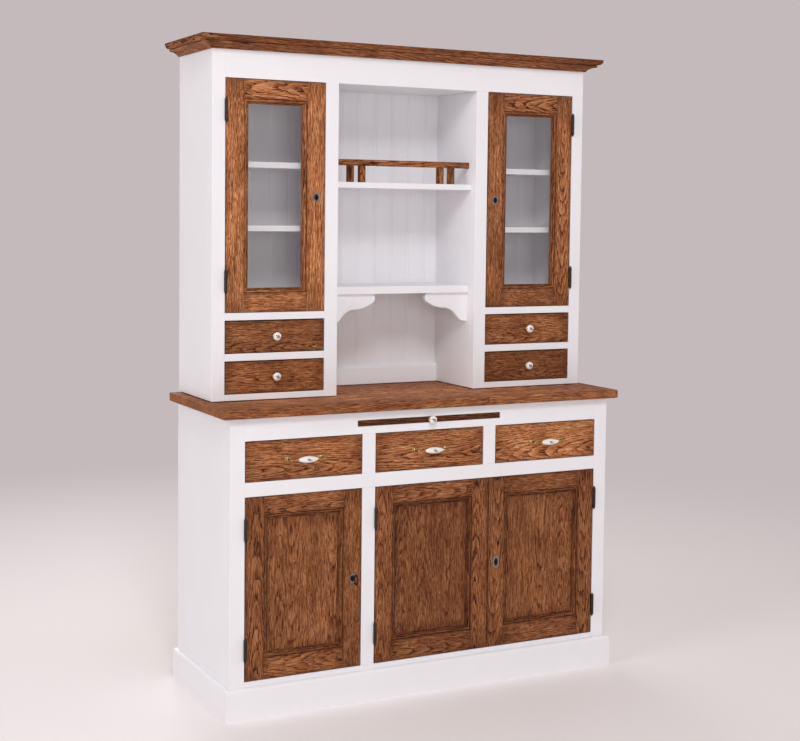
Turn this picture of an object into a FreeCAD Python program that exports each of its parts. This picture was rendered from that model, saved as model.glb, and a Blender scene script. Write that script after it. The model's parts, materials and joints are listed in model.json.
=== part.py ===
"""Step back cupboard: a base of doors and drawers with a shallower glazed hutch on it. Millimetres.

Left and right are as seen from the front. X runs to the right, Y from front to back, and Z up from the floor.
The origin is on the floor, under the middle of the whole piece.
"""
import FreeCAD, Part
import math
import os
import re
import Sketcher

LEFT, RIGHT = -1, 1

SIZES = [
    # name, millimetres, what it measures
    ("total_height", 2100, "floor to the top of the crown"),
    ("base_width", 1380, "base case, without plinth and worktop overhang"),
    ("base_depth", 484, "back of the cupboard to the face of the base"),
    ("hutch_width", 1374, "hutch case, without the crown"),
    ("hutch_depth", 310, "back of the cupboard to the face of the hutch"),
    ("side_thickness", 20, "case sides and tower walls"),
    ("frame_thickness", 22, "face frames and doors, front to back"),
    ("shelf_thickness", 18, "floors, decks and the base shelves"),
    ("partition_thickness", 18, "partition and drawer dividers in the base"),

    ("worktop_height", 960, "floor to the top of the worktop"),
    ("worktop_thickness", 28, "worktop"),
    ("worktop_side_overhang", 30, "worktop beyond the base at each side"),
    ("worktop_front_overhang", 25, "worktop beyond the face of the base"),
    ("worktop_round", 4, "radius along the worktop's edges"),
    ("plinth_height", 100, "plinth"),
    ("plinth_thickness", 18, "plinth, outside the case"),
    ("plinth_round", 11, "radius of the plinth's top outer edge"),
    ("base_stile_width", 48, "outer stiles of the base"),
    ("mullion_width", 46, "mullions of the base"),
    ("top_rail_height", 72, "rail over the base drawers"),
    ("drawer_opening_height", 127, "openings of the base drawers"),
    ("mid_rail_height", 45, "rail under the base drawers"),
    ("base_floor_height", 115, "floor to the bottom of the door openings"),
    ("bottom_rail_height", 60, "rail behind the top of the plinth"),
    ("base_shelf_rise", 290, "base floor to the top of its shelf"),
    ("base_shelf_setback", 70, "back of the face frame to the base shelf"),
    ("base_back_thickness", 12, "back boards of the base"),
    ("base_back_board_count", 8, "back boards of the base"),

    ("slot_drop", 28, "worktop to the slot of the pull-out board"),
    ("slot_height", 20, "slot of the pull-out board"),
    ("slot_width", 524, "slot of the pull-out board"),
    ("pull_out_depth", 400, "pull-out board, front to back"),
    ("pull_out_setback", 2, "face of the base to the front of the pull-out board"),
    ("pull_out_play", 1, "gap all round the pull-out board"),
    ("bearer_lap", 20, "how far a bearer reaches under the pull-out board"),
    ("bearer_width", 22, "bearer beside the pull-out board"),

    ("pad_height", 3, "pads under the hutch"),
    ("pad_length", 45, "pads under the hutch, front to back"),
    ("pad_setback", 12, "back of the hutch face frame to the front pads"),
    ("hutch_stile_width", 43, "outer stiles of the hutch"),
    ("inner_stile_width", 45, "stiles beside the niche"),
    ("niche_width", 514, "open niche between the towers"),
    ("hutch_bottom_rail", 20, "rail under the lower small drawers"),
    ("small_drawer_opening", 105, "openings of the small drawers"),
    ("tower_rail_height", 23.5, "rails over the small drawers"),
    ("frieze_height", 87, "rail between the doors and the crown"),
    ("crown_height", 40, "crown moulding"),
    ("crown_projection", 50, "crown moulding beyond the case"),
    ("crown_slab_height", 18, "flat band at the top of the crown"),
    ("crown_slab_round", 14, "radius under the flat band"),
    ("crown_neck_width", 36, "crown under its flat band, out from the case"),
    ("crown_neck_height", 3, "groove under the flat band"),
    ("crown_bead_round", 5, "quarter round under the groove"),
    ("crown_foot_width", 7, "bottom of the crown, out from the case"),
    ("crown_foot_height", 2, "fillet at the bottom of the crown"),
    ("crown_cove_radius", 32, "hollow of the crown"),
    ("top_board_thickness", 18, "top board and ceiling board of the hutch"),
    ("back_set_in", 20, "back of the cupboard to the beaded boards"),
    ("bead_board_thickness", 15, "beaded back boards of the hutch"),
    ("bead_board_count", 21, "beaded back boards of the hutch"),
    ("first_bead_board_width", 22.5, "back board at the left side"),
    ("last_bead_board_width", 73.5, "back board at the right side"),
    ("bead_width", 7, "bead along the edge of each back board"),
    ("bead_groove_width", 1.6, "grooves beside the beads"),
    ("bead_groove_depth", 1.4, "grooves beside the beads"),
    ("back_rail_height", 66, "rail at the foot of the niche back"),
    ("back_rail_thickness", 16, "rail at the foot of the niche back"),
    ("back_rail_bevel", 10, "bevel on the top edge of that rail"),

    ("plate_shelf_rise", 695.5, "underside of the hutch to the top of the plate shelf"),
    ("plate_shelf_setback", 31, "face of the hutch to the plate shelf"),
    ("niche_shelf_rise", 352, "underside of the hutch to the top of the niche shelf"),
    ("niche_shelf_thickness", 25, "niche shelf"),
    ("niche_shelf_setback", 41, "face of the hutch to the niche shelf"),
    ("thin_shelf_thickness", 19, "plate shelf and tower shelves"),
    ("tower_shelf_setback", 40, "face of the hutch to the tower shelves"),
    ("low_tower_shelf_rise", 275, "tower floor to the top of its lower shelf"),
    ("high_tower_shelf_rise", 476.5, "tower floor to the top of its upper shelf"),
    ("plate_rail_height", 20, "oak rail over the plate shelf"),
    ("plate_rail_thickness", 16, "oak rail over the plate shelf"),
    ("plate_rail_top", 75, "plate shelf to the top of its rail"),
    ("plate_rail_setback", 13, "edge of the plate shelf to its rail"),
    ("rail_post_size", 20, "square posts of the plate rail"),
    ("rail_post_pair", 42, "centre to centre of a pair of posts"),
    ("rail_post_place", 168, "middle of the niche to the middle of a pair of posts"),

    ("bracket_length", 155, "scrolled bracket along the niche shelf"),
    ("bracket_drop", 98, "scrolled bracket down the wall"),
    ("bracket_thickness", 18, "scrolled bracket"),
    ("bracket_setback", 11, "edge of the niche shelf to its brackets"),
    ("bracket_nose_radius", 18, "nose of the bracket"),
    ("bracket_nose_drop", 32, "niche shelf to the bottom of the nose"),
    ("bracket_nose_tuck", 5, "how far the bottom of the nose is tucked in"),
    ("bracket_belly_radius", 110, "long curve between nose and middle"),
    ("bracket_belly_place", 82, "niche wall to the middle of the bracket"),
    ("bracket_belly_drop", 51, "niche shelf to the bracket's edge there"),
    ("bracket_cove_radius", 65, "hollow of the bracket"),
    ("bracket_heel_place", 38, "niche wall to the end of the hollow"),
    ("bracket_heel_drop", 80, "niche shelf to the end of the hollow"),
    ("bracket_heel_radius", 42, "curve at the foot of the bracket"),
    ("bracket_foot_width", 8, "flat foot of the bracket"),

    ("door_gap", 2, "gap round each door"),
    ("door_stile_width", 62, "door stiles"),
    ("base_door_top_rail", 56, "top rails of the base doors"),
    ("base_door_bottom_rail", 66, "bottom rails of the base doors"),
    ("glass_door_rail", 60, "rails of the glass doors"),
    ("moulding_width", 16, "moulding round the panel"),
    ("moulding_sink", 1.5, "face of the door to the moulding"),
    ("moulding_round", 8, "radius of the moulding"),
    ("infill_setback", 12, "face of the door to its panel or glass"),
    ("panel_thickness", 7, "door panels"),
    ("glass_thickness", 4, "door glass"),
    ("groove_depth", 9, "groove that holds a panel or glass"),
    ("groove_play", 1, "panel edge to the bottom of its groove"),

    ("hinge_inset", 100, "end of a door opening to the middle of a hinge"),
    ("leaf_height", 64, "hinge leaves"),
    ("leaf_depth", 18, "hinge leaves, front to back"),
    ("leaf_thickness", 2, "hinge leaves, let into the wood"),
    ("knuckle_radius", 5.2, "hinge knuckles"),
    ("knuckle_stand_off", 5.8, "face of the door to the hinge pin's centre"),
    ("door_knuckle_height", 32, "middle knuckle, with its gaps"),
    ("knuckle_gap", 0.4, "gap above and below the middle knuckle"),
    ("hinge_tip_height", 8, "pointed tips of a hinge"),
    ("hinge_tip_radius", 1.5, "end of a hinge tip"),
    ("pin_radius", 2, "hinge pins"),
    ("pin_clearance", 0.09, "hinge pin to its bore"),

    ("lock_inset", 30, "edge of a door to its key's axis"),
    ("lock_case_width", 46, "lock cases"),
    ("lock_case_depth", 11, "lock cases, front to back"),
    ("lock_case_above", 31, "key's axis to the top of a lock case"),
    ("lock_case_below", 15, "key's axis to the bottom of a lock case"),
    ("lock_case_wall", 1.5, "lock cases"),
    ("lock_bolt_rise", 12.5, "key's axis to the underside of a lock bolt"),
    ("lock_bolt_height", 14, "lock bolts"),
    ("lock_bolt_thickness", 6, "lock bolts"),
    ("lock_bolt_length", 34, "lock bolts"),
    ("lock_bolt_rest", 0.5, "edge of a door to its bolt when unlocked"),
    ("bolt_play", 0.5, "gap round a bolt in its slot or mortise"),
    ("strike_depth", 12, "mortises for lock bolts"),
    ("keyhole_radius", 3.4, "round part of a keyhole"),
    ("keyhole_slot_width", 3.4, "slot of a keyhole"),
    ("keyhole_slot_drop", 11, "key's axis to the bottom of the slot"),
    ("plate_width", 24, "keyhole plates"),
    ("plate_height", 31, "keyhole plates"),
    ("tall_plate_height", 41, "keyhole plate of the right base door"),
    ("plate_thickness", 1.8, "keyhole plates"),

    ("key_reach", 39, "face of the door to the end of the key"),
    ("key_stem_radius", 2.4, "key"),
    ("key_collar_radius", 3.8, "key"),
    ("key_collar_length", 4, "key"),
    ("key_collar_stand_off", 1, "keyhole plate to the key's collar"),
    ("key_bow_width", 24, "key's bow, front to back"),
    ("key_bow_height", 33, "key's bow"),
    ("key_bow_rim", 4.5, "key's bow"),
    ("key_bow_thickness", 3.4, "key's bow"),
    ("key_bit_reach", 9.5, "key's axis to the end of its bit"),
    ("key_bit_length", 5.5, "key's bit, front to back"),
    ("key_bit_thickness", 2.4, "key's bit"),

    ("flush_bolt_length", 90, "flush bolt's plate on the middle door"),
    ("flush_bolt_width", 16, "flush bolt's plate"),
    ("flush_plate_thickness", 2, "flush bolt's plate"),
    ("flush_plate_margin", 4, "top of the door to the flush bolt's plate"),
    ("flush_rod_radius", 3, "flush bolt's rod"),
    ("flush_rod_depth", 8, "back of the door to the rod's centre"),
    ("flush_rod_length", 74, "flush bolt's rod"),
    ("flush_rod_clearance", 0.6, "rod to its groove and its hole in the rail"),
    ("flush_hole_depth", 16, "hole in the rail for the rod"),
    ("flush_knob_drop", 60, "top of the door to the flush bolt's knob"),
    ("flush_knob_radius", 2.6, "flush bolt's knob"),
    ("flush_knob_reach", 7, "back of the door to the end of the knob"),
    ("flush_bolt_travel", 14, "flush bolt"),

    ("drawer_gap", 2, "gap round each drawer front"),
    ("small_drawer_top_gap", 3.5, "gap over the front of a small drawer"),
    ("drawer_front_thickness", 20, "drawer fronts"),
    ("drawer_side_thickness", 12, "sides and backs of the base drawers"),
    ("drawer_length", 430, "base drawers, front to back"),
    ("drawer_headroom", 20, "top of a drawer opening to the drawer's sides"),
    ("drawer_bottom_thickness", 6, "drawer bottoms"),
    ("drawer_bottom_rise", 8, "edge of a drawer's sides to its bottom"),
    ("small_drawer_length", 244, "small drawers, front to back"),
    ("small_drawer_side_thickness", 9, "sides and backs of the small drawers"),
    ("slide_gap", 0.5, "drawer to the board that it runs on"),
    ("guide_height", 16, "guides beside the drawers"),

    ("knob_radius", 13.5, "porcelain knobs"),
    ("knob_length", 27, "porcelain knobs, out from the wood"),
    ("knob_neck_radius", 7, "neck of a knob"),
    ("knob_neck_length", 8, "neck of a knob"),
    ("knob_foot_radius", 9, "foot of a knob"),
    ("knob_foot_length", 3, "foot of a knob"),
    ("knob_waist", 17, "wood to the widest part of a knob"),

    ("handle_reach", 36, "drawer front to the outside of a handle"),
    ("handle_centres", 112, "centre to centre of a handle's feet"),
    ("handle_foot_radius", 11.5, "round feet of a handle"),
    ("handle_foot_thickness", 3, "round feet of a handle"),
    ("handle_post_radius", 3.5, "posts of a handle"),
    ("handle_ball_radius", 5, "balls at the ends of a handle"),
    ("handle_arm_radius", 2.6, "thin end of a handle's arms"),
    ("handle_cup_radius", 6.5, "wide end of a handle's arms"),
    ("handle_cup_length", 3, "collar beside the porcelain grip"),
    ("porcelain_length", 64, "porcelain grip of a handle"),
    ("porcelain_radius", 10.5, "porcelain grip at its middle"),
    ("porcelain_end_radius", 6.2, "porcelain grip at its ends"),

    ("joining_bracket_width", 40, "angle brackets between hutch and worktop"),
    ("joining_bracket_height", 50, "angle brackets, up the back boards"),
    ("joining_bracket_depth", 16, "angle brackets, along the worktop"),
    ("joining_bracket_thickness", 2.5, "angle brackets"),
    ("joining_bracket_place", 470, "middle of the cupboard to an angle bracket"),
]

PLACES = [
    # name, formula
    ("half_base", "base_width / 2"),
    ("half_hutch", "hutch_width / 2"),
    ("base_inner", "half_base - side_thickness"),
    ("hutch_inner", "half_hutch - side_thickness"),
    ("front_reach", "max(key_reach; handle_reach; worktop_front_overhang; plinth_thickness)"),
    ("back_plane", "(base_depth + front_reach) / 2"),
    ("base_front", "back_plane - base_depth"),
    ("base_frame_back", "base_front + frame_thickness"),
    ("base_back_front", "back_plane - base_back_thickness"),
    ("hutch_front", "back_plane - hutch_depth"),
    ("hutch_frame_back", "hutch_front + frame_thickness"),
    ("bead_back", "back_plane - back_set_in"),
    ("bead_front", "bead_back - bead_board_thickness"),

    ("worktop_under", "worktop_height - worktop_thickness"),
    ("drawer_top", "worktop_under - top_rail_height"),
    ("drawer_floor", "drawer_top - drawer_opening_height"),
    ("deck_under", "drawer_floor - shelf_thickness"),
    ("door_top", "drawer_floor - mid_rail_height"),
    ("door_floor", "base_floor_height"),
    ("base_shelf_top", "door_floor + base_shelf_rise"),
    ("slot_top", "worktop_under - slot_drop"),
    ("slot_floor", "slot_top - slot_height"),
    ("base_opening_edge", "half_base - base_stile_width"),
    ("base_opening_width", "(2 * base_opening_edge - 2 * mullion_width) / 3"),
    ("mullion_inner", "base_opening_width / 2"),
    ("mullion_outer", "mullion_inner + mullion_width"),
    ("mullion_centre", "mullion_inner + mullion_width / 2"),
    ("divider_inner", "mullion_centre - partition_thickness / 2"),
    ("divider_outer", "mullion_centre + partition_thickness / 2"),

    ("hutch_floor", "worktop_height + pad_height"),
    ("low_drawer_floor", "hutch_floor + hutch_bottom_rail"),
    ("low_drawer_top", "low_drawer_floor + small_drawer_opening"),
    ("high_drawer_floor", "low_drawer_top + tower_rail_height"),
    ("high_drawer_top", "high_drawer_floor + small_drawer_opening"),
    ("tower_floor", "high_drawer_top + tower_rail_height"),
    ("crown_floor", "total_height - crown_height"),
    ("niche_top", "crown_floor - frieze_height"),
    ("half_niche", "niche_width / 2"),
    ("tower_wall_outer", "half_niche + side_thickness"),
    ("hutch_opening_edge", "half_hutch - hutch_stile_width"),
    ("tower_opening_edge", "half_niche + inner_stile_width"),
    ("plate_shelf_top", "hutch_floor + plate_shelf_rise"),
    ("niche_shelf_top", "hutch_floor + niche_shelf_rise"),
    ("niche_shelf_under", "niche_shelf_top - niche_shelf_thickness"),
    ("niche_shelf_front", "hutch_front + niche_shelf_setback"),
    ("plate_shelf_front", "hutch_front + plate_shelf_setback"),
]

SHEET_OF = {}
subparts = []
doc = FreeCAD.newDocument("StepBackCupboard")


def linked(formula, home=""):
    """A formula with the sheet's name put before each name that another sheet holds."""
    def full_name(word):
        sheet = SHEET_OF.get(word[0], home)
        return word[0] if sheet == home else f"{sheet}.{word[0]}"
    return re.sub(r"[a-z_]+", full_name, formula)


def fill_sheet(name, rows):
    """A spreadsheet with a name, a number or formula, and a note in each row."""
    sheet = doc.addObject("Spreadsheet::Sheet", name)
    for number, row in enumerate(rows, 1):
        alias, content, *notes = row
        SHEET_OF[alias] = name
        sheet.set(f"A{number}", alias)
        sheet.set(f"B{number}", "=" + linked(content, name) if isinstance(content, str) else str(content))
        sheet.setAlias(f"B{number}", alias)
        for note in notes:
            sheet.set(f"C{number}", note)
    doc.recompute()


def value(formula):
    """What a formula gives now, as a plain number."""
    return float(doc.Sizes.evalExpression(linked(str(formula))))


def beside(edge, side, near, far):
    """The stretch of X from near to far beyond an edge, to its left or its right."""
    if side == RIGHT:
        return f"({edge}) + ({near})", f"({edge}) + ({far})"
    return f"({edge}) - ({far})", f"({edge}) - ({near})"


def mirrored(side, near, far):
    """The stretch of X from near to far from the middle of the cupboard, on one side of it."""
    return beside("0", side, near, far)


def even_spans(low, high, count):
    """Equal stretches side by side from one place to another."""
    step = f"({high} - ({low})) / ({count})"
    edges = [f"{low} + {number} * {step}" for number in range(round(value(count)) + 1)]
    return list(zip(edges, edges[1:]))


def place(piece, x="0", y="0", z="0"):
    """A piece moved so that its own origin is at a place."""
    for letter, formula in zip("xyz", (x, y, z)):
        piece.setExpression(f"Placement.Base.{letter}", linked(formula))
    return piece


def board(name, x, y, z):
    """A rectangular piece between two places along each axis."""
    box = doc.addObject("Part::Box", name)
    for size, (low, high) in zip(("Length", "Width", "Height"), (x, y, z)):
        box.setExpression(size, linked(f"({high}) - ({low})"))
    return place(box, x[0], y[0], z[0])


def rod(name, radius, length, x, y, z, axis=FreeCAD.Vector(0, 0, 1)):
    """A round bar that starts at a place and runs along an axis."""
    cylinder = doc.addObject("Part::Cylinder", name)
    cylinder.setExpression("Radius", linked(radius))
    cylinder.setExpression("Height", linked(length))
    cylinder.Placement.Rotation = FreeCAD.Rotation(FreeCAD.Vector(0, 0, 1), axis)
    return place(cylinder, x, y, z)


def taper(name, radius, end_radius, length, x, y, z, axis):
    """A round bar that starts at a place and thins along an axis."""
    cone = doc.addObject("Part::Cone", name)
    cone.setExpression("Radius1", linked(radius))
    cone.setExpression("Radius2", linked(end_radius))
    cone.setExpression("Height", linked(length))
    cone.Placement.Rotation = FreeCAD.Rotation(FreeCAD.Vector(0, 0, 1), axis)
    return place(cone, x, y, z)


def joined(name, pieces):
    """Several shapes made one solid."""
    union = doc.addObject("Part::MultiFuse", name)
    union.Shapes = pieces
    union.Refine = True
    return union


def cut(piece, tools):
    """A piece with one or more shapes taken out of it."""
    if not tools:
        return piece
    result = doc.addObject("Part::Cut", piece.Label + "_cut")
    result.Base = piece
    result.Tool = tools[0] if len(tools) == 1 else joined(piece.Label + "_tools", tools)
    return result


def subpart(label, piece):
    """Hands a single piece in as a sub-part."""
    piece.Label = label
    subparts.append(piece)


def group(label, pieces):
    """Hands several separate pieces in as one sub-part."""
    compound = doc.addObject("Part::Compound", label)
    compound.Links = pieces
    subparts.append(compound)


def arc_between(start, end, radius, turn):
    """An arc from start to end that turns left (1) or right (-1), by half a circle at most."""
    chord = end - start
    middle = (start + end) * 0.5
    normal = FreeCAD.Vector(-chord.y, chord.x, 0).normalize()
    centre = middle + normal * turn * math.sqrt(max(radius ** 2 - (chord.Length / 2) ** 2, 0))
    first, last = (start, end) if turn > 0 else (end, start)
    angles = [math.atan2(point.y - centre.y, point.x - centre.x) for point in (first, last)]
    if angles[1] <= angles[0]:
        angles[1] += 2 * math.pi
    circle = Part.Circle(centre, FreeCAD.Vector(0, 0, 1), radius)
    return Part.ArcOfCircle(circle, *angles)


def constrain(sketch, name, formula, kind, *where):
    """A named dimension of a sketch, bound to a formula."""
    index = sketch.addConstraint(Sketcher.Constraint(kind, *where, value(formula)))
    sketch.renameConstraint(index, name)
    sketch.setExpression(f"Constraints.{name}", linked(str(formula)))


def outline(body, plane, *loops):
    """A sketch of closed loops on one of a body's own planes.

    A corner of a loop is (across, up), joined to the corner before it by a line, or
    (across, up, radius, turn), joined to it by an arc that turns left (1) or right (-1).
    """
    sketch = body.newObject("Sketcher::SketchObject", "Outline")
    sketch.AttachmentSupport = [(next(item for item in body.Origin.OriginFeatures if item.Role == plane), "")]
    sketch.MapMode = "FlatFace"
    for loop in loops:
        first_index = sketch.GeometryCount
        points = [FreeCAD.Vector(value(corner[0]), value(corner[1]), 0) for corner in loop]
        ends = []
        for number, corner in enumerate(loop):
            start, end = points[number - 1], points[number]
            if len(corner) == 4:
                sketch.addGeometry(arc_between(start, end, value(corner[2]), corner[3]))
                ends.append((1, 2) if corner[3] > 0 else (2, 1))
            else:
                sketch.addGeometry(Part.LineSegment(start, end))
                ends.append((1, 2))
        for number, corner in enumerate(loop):
            index = first_index + number
            following = (number + 1) % len(loop)
            here, there = (index, ends[number][1]), (first_index + following, ends[following][0])
            sketch.addConstraint(Sketcher.Constraint("Coincident", *here, *there))
            constrain(sketch, f"across_{index}", corner[0], "DistanceX", -1, 1, *here)
            constrain(sketch, f"up_{index}", corner[1], "DistanceY", -1, 1, *here)
            if len(corner) == 4:
                constrain(sketch, f"radius_{index}", corner[2], "Radius", index)
    return sketch


def rectangle(left, right, low, high):
    """The corners of an upright rectangle."""
    return [(left, low), (right, low), (right, high), (left, high)]


def new_body(name):
    """An empty body for a sketch and the features made from it."""
    return doc.addObject("PartDesign::Body", name)


def pad(body, sketch, length, both_ways=False):
    """A sketch given its thickness, towards its plane's normal or half to each side."""
    feature = body.newObject("PartDesign::Pad", "Pad")
    feature.Profile = sketch
    feature.setExpression("Length", linked(length))
    feature.Midplane = both_ways
    return feature


def turned(body, sketch, axis):
    """A sketch turned all the way round one of its own axes."""
    feature = body.newObject("PartDesign::Revolution", "Revolution")
    feature.Profile = sketch
    feature.ReferenceAxis = (sketch, [axis])
    feature.Angle = 360
    return feature


def rounded(body, feature, radius, wanted):
    """Fillets on those edges of a feature that are wanted."""
    doc.recompute()
    names = [f"Edge{number}" for number, edge in enumerate(feature.Shape.Edges, 1) if wanted(edge)]
    fillet = body.newObject("PartDesign::Fillet", "Fillet")
    fillet.Base = (feature, names)
    fillet.setExpression("Radius", linked(radius))
    return fillet


# ---------------------------------------------------------------- outlines

def flipped(loop):
    """A loop mirrored left to right."""
    return [(f"-({corner[0]})", corner[1]) + ((corner[2], -corner[3]) if len(corner) == 4 else ())
            for corner in loop]


def obround(width, height, middle="0"):
    """The loop of an upright slot with round ends, about a middle on the sketch's own axis."""
    half, straight = f"({width}) / 2", f"(({height}) - ({width})) / 2"
    return [
        (f"({middle}) + {half}", f"-{straight}", half, 1),
        (f"({middle}) + {half}", straight),
        (middle, f"{straight} + {half}", half, 1),
        (f"({middle}) - {half}", straight, half, 1),
        (f"({middle}) - {half}", f"-{straight}"),
        (middle, f"-{straight} - {half}", half, 1),
    ]


PLINTH_PROFILE = [
    ("0", "0"),
    ("plinth_thickness", "0"),
    ("plinth_thickness", "plinth_height - plinth_round"),
    ("plinth_thickness - plinth_round", "plinth_height", "plinth_round", 1),
    ("0", "plinth_height"),
]

CROWN_PROFILE = [
    ("0", "0"),
    ("crown_foot_width", "0"),
    ("crown_foot_width", "crown_foot_height"),
    ("crown_neck_width - crown_bead_round",
     "crown_height - crown_slab_height - crown_neck_height - crown_bead_round", "crown_cove_radius", -1),
    ("crown_neck_width", "crown_height - crown_slab_height - crown_neck_height", "crown_bead_round", 1),
    ("crown_neck_width - crown_neck_height", "crown_height - crown_slab_height - crown_neck_height"),
    ("crown_neck_width - crown_neck_height", "crown_height - crown_slab_height"),
    ("crown_projection - crown_slab_round", "crown_height - crown_slab_height"),
    ("crown_projection", "crown_height - crown_slab_height + crown_slab_round", "crown_slab_round", 1),
    ("crown_projection", "crown_height"),
    ("0", "crown_height"),
]

BRACKET_PROFILE = [
    ("0", "0"),
    ("-bracket_length", "0"),
    ("bracket_nose_tuck - bracket_length", "-bracket_nose_drop", "bracket_nose_radius", 1),
    ("-bracket_belly_place", "-bracket_belly_drop", "bracket_belly_radius", 1),
    ("-bracket_heel_place", "-bracket_heel_drop", "bracket_cove_radius", -1),
    ("-bracket_foot_width", "-bracket_drop", "bracket_heel_radius", 1),
    ("0", "-bracket_drop"),
]


# ---------------------------------------------------------------- mouldings round a case

def mitred_length(name, plane, profile, length, both_ways, waste):
    """One length of a moulding, with the waste beyond its mitres cut away."""
    body = new_body(name)
    pad(body, outline(body, plane, profile), length, both_ways)
    mitres = body.newObject("PartDesign::Pocket", "Mitres")
    mitres.Profile = outline(body, "XY_Plane", *waste)
    mitres.Type = "ThroughAll"
    mitres.Reversed = True
    return body


def mitred_moulding(label, profile, half_width, front, projection, floor):
    """A moulding round the front and both sides of a case. Its profile is (out from the case, up)."""
    far = f"2 * {projection}"
    front_waste = []
    for side in (LEFT, RIGHT):
        beyond = f"{side} * ({half_width} + {far})"
        front_waste.append([(f"{side} * {half_width}", "0"), (beyond, f"-{far}"), (beyond, "0")])
    along_front = mitred_length(label + "_front", "YZ_Plane", flipped(profile),
                                f"2 * ({half_width} + {projection})", True, front_waste)
    lengths = [place(along_front, "0", front, floor)]
    depth = f"(back_plane - {front})"
    for side, side_profile in ((LEFT, flipped(profile)), (RIGHT, profile)):
        waste = [("0", f"-{depth}"), (f"{side} * {far}", f"-{depth} - {far}"), ("0", f"-{depth} - {far}")]
        length = mitred_length(label + "_side", "XZ_Plane", side_profile, f"{depth} + {projection}",
                               False, [waste])
        lengths.append(place(length, f"{side} * {half_width}", "back_plane", floor))
    group(label, lengths)


# ---------------------------------------------------------------- knobs and handles

def knob(label, x, front, z):
    """A turned porcelain knob that stands out from the wood towards the front."""
    dome = "(knob_length - knob_waist)"
    neck = "(knob_waist - knob_neck_length)"
    flare = "(knob_radius - knob_neck_radius)"
    body = new_body(label)
    turned(body, outline(body, "XZ_Plane", [
        ("0", "0"),
        ("knob_foot_radius", "0"),
        ("knob_foot_radius", "knob_foot_length"),
        ("knob_neck_radius", "knob_foot_length"),
        ("knob_neck_radius", "knob_neck_length"),
        ("knob_radius", "knob_waist", f"({flare} ^ 2 + {neck} ^ 2) / (2 * {flare})", 1),
        ("0", "knob_length", f"(knob_radius ^ 2 + {dome} ^ 2) / (2 * {dome})", 1),
    ]), "V_Axis")
    body.Placement.Rotation = FACING
    subpart(label, place(body, x, front, z))


def handle(label, x, front, z):
    """A brass bow handle with a porcelain grip between its two tapered arms."""
    axis = f"{front} - handle_reach + porcelain_radius"
    taper_length = "(handle_centres - porcelain_length) / 2 - handle_cup_length"
    arms = []
    for side in (LEFT, RIGHT):
        foot_x = f"({x}) + {side} * handle_centres / 2"
        cup_x = f"({x}) + {side} * porcelain_length / 2"
        outward = FreeCAD.Vector(side, 0, 0)
        ball = doc.addObject("Part::Sphere", "ball")
        ball.setExpression("Radius", linked("handle_ball_radius"))
        ball.Placement.Rotation = FreeCAD.Rotation(FreeCAD.Vector(1, 0, 0), TOWARDS_FRONT)
        arms.append(joined("arm", [
            rod("foot", "handle_foot_radius", "handle_foot_thickness", foot_x, front, z, TOWARDS_FRONT),
            rod("post", "handle_post_radius", f"{front} - ({axis})", foot_x, front, z, TOWARDS_FRONT),
            place(ball, foot_x, axis, z),
            rod("cup", "handle_cup_radius", "handle_cup_length", cup_x, axis, z, outward),
            taper("arm", "handle_cup_radius", "handle_arm_radius", taper_length,
                  f"{cup_x} + {side} * handle_cup_length", axis, z, outward),
        ]))
    rise = "(porcelain_radius - porcelain_end_radius)"
    grip = new_body("grip")
    turned(grip, outline(grip, "XZ_Plane", [
        ("-porcelain_length / 2", "0"),
        ("porcelain_length / 2", "0"),
        ("porcelain_length / 2", "porcelain_end_radius"),
        ("-porcelain_length / 2", "porcelain_end_radius",
         f"((porcelain_length / 2) ^ 2 + {rise} ^ 2) / (2 * {rise})", 1),
    ]), "H_Axis")
    arms.append(place(grip, x, axis, z))
    group(label, arms)


# ---------------------------------------------------------------- hinges, locks and bolts

frame_cuts = {"stile_left": [], "stile_right": [], "mullion": [], "mid_rail": [],
              "hutch_left": [], "hutch_right": [], "tower_left": [], "tower_right": []}
frame_leaves = []


def hinge(side, edge, middle, front):
    """A butt hinge at a door's edge: the frame's leaf with its pin, the door's leaf, and both mortises."""
    x, y = f"{edge} + {side} * door_gap / 2", f"{front} - knuckle_stand_off"
    depth = (front, f"{front} + leaf_depth")
    strap_depth = (y, front)
    height = (f"{middle} - leaf_height / 2", f"{middle} + leaf_height / 2")
    frame_x = beside(edge, side, "door_gap", "door_gap + leaf_thickness")
    door_x = beside(edge, side, "-leaf_thickness", "0")
    outer_knuckle = "(leaf_height - door_knuckle_height) / 2"

    frame_plate = board("frame_plate", frame_x, depth, height)
    frame_pieces = [frame_plate, rod("pin", "pin_radius", "leaf_height", x, y, height[0])]
    for low, tip_z, direction in ((height[0], height[0], -1),
                                  (f"{middle} + door_knuckle_height / 2", height[1], 1)):
        frame_pieces += [
            rod("outer_knuckle", "knuckle_radius", outer_knuckle, x, y, low),
            board("strap", frame_x, strap_depth, (low, f"{low} + {outer_knuckle}")),
            taper("tip", "knuckle_radius", "hinge_tip_radius", "hinge_tip_height", x, y, tip_z,
                  FreeCAD.Vector(0, 0, direction)),
        ]

    door_plate = board("door_plate", door_x, depth, height)
    low = f"{middle} - door_knuckle_height / 2 + knuckle_gap"
    knuckle_height = "door_knuckle_height - 2 * knuckle_gap"
    door_leaf = joined("door_leaf", [
        door_plate,
        rod("middle_knuckle", "knuckle_radius", knuckle_height, x, y, low),
        board("strap", door_x, strap_depth, (low, f"{low} + {knuckle_height}")),
    ])
    bore = rod("bore", "pin_radius + pin_clearance", "leaf_height", x, y, height[0])
    return joined("frame_leaf", frame_pieces), cut(door_leaf, [bore]), frame_plate, door_plate


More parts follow.
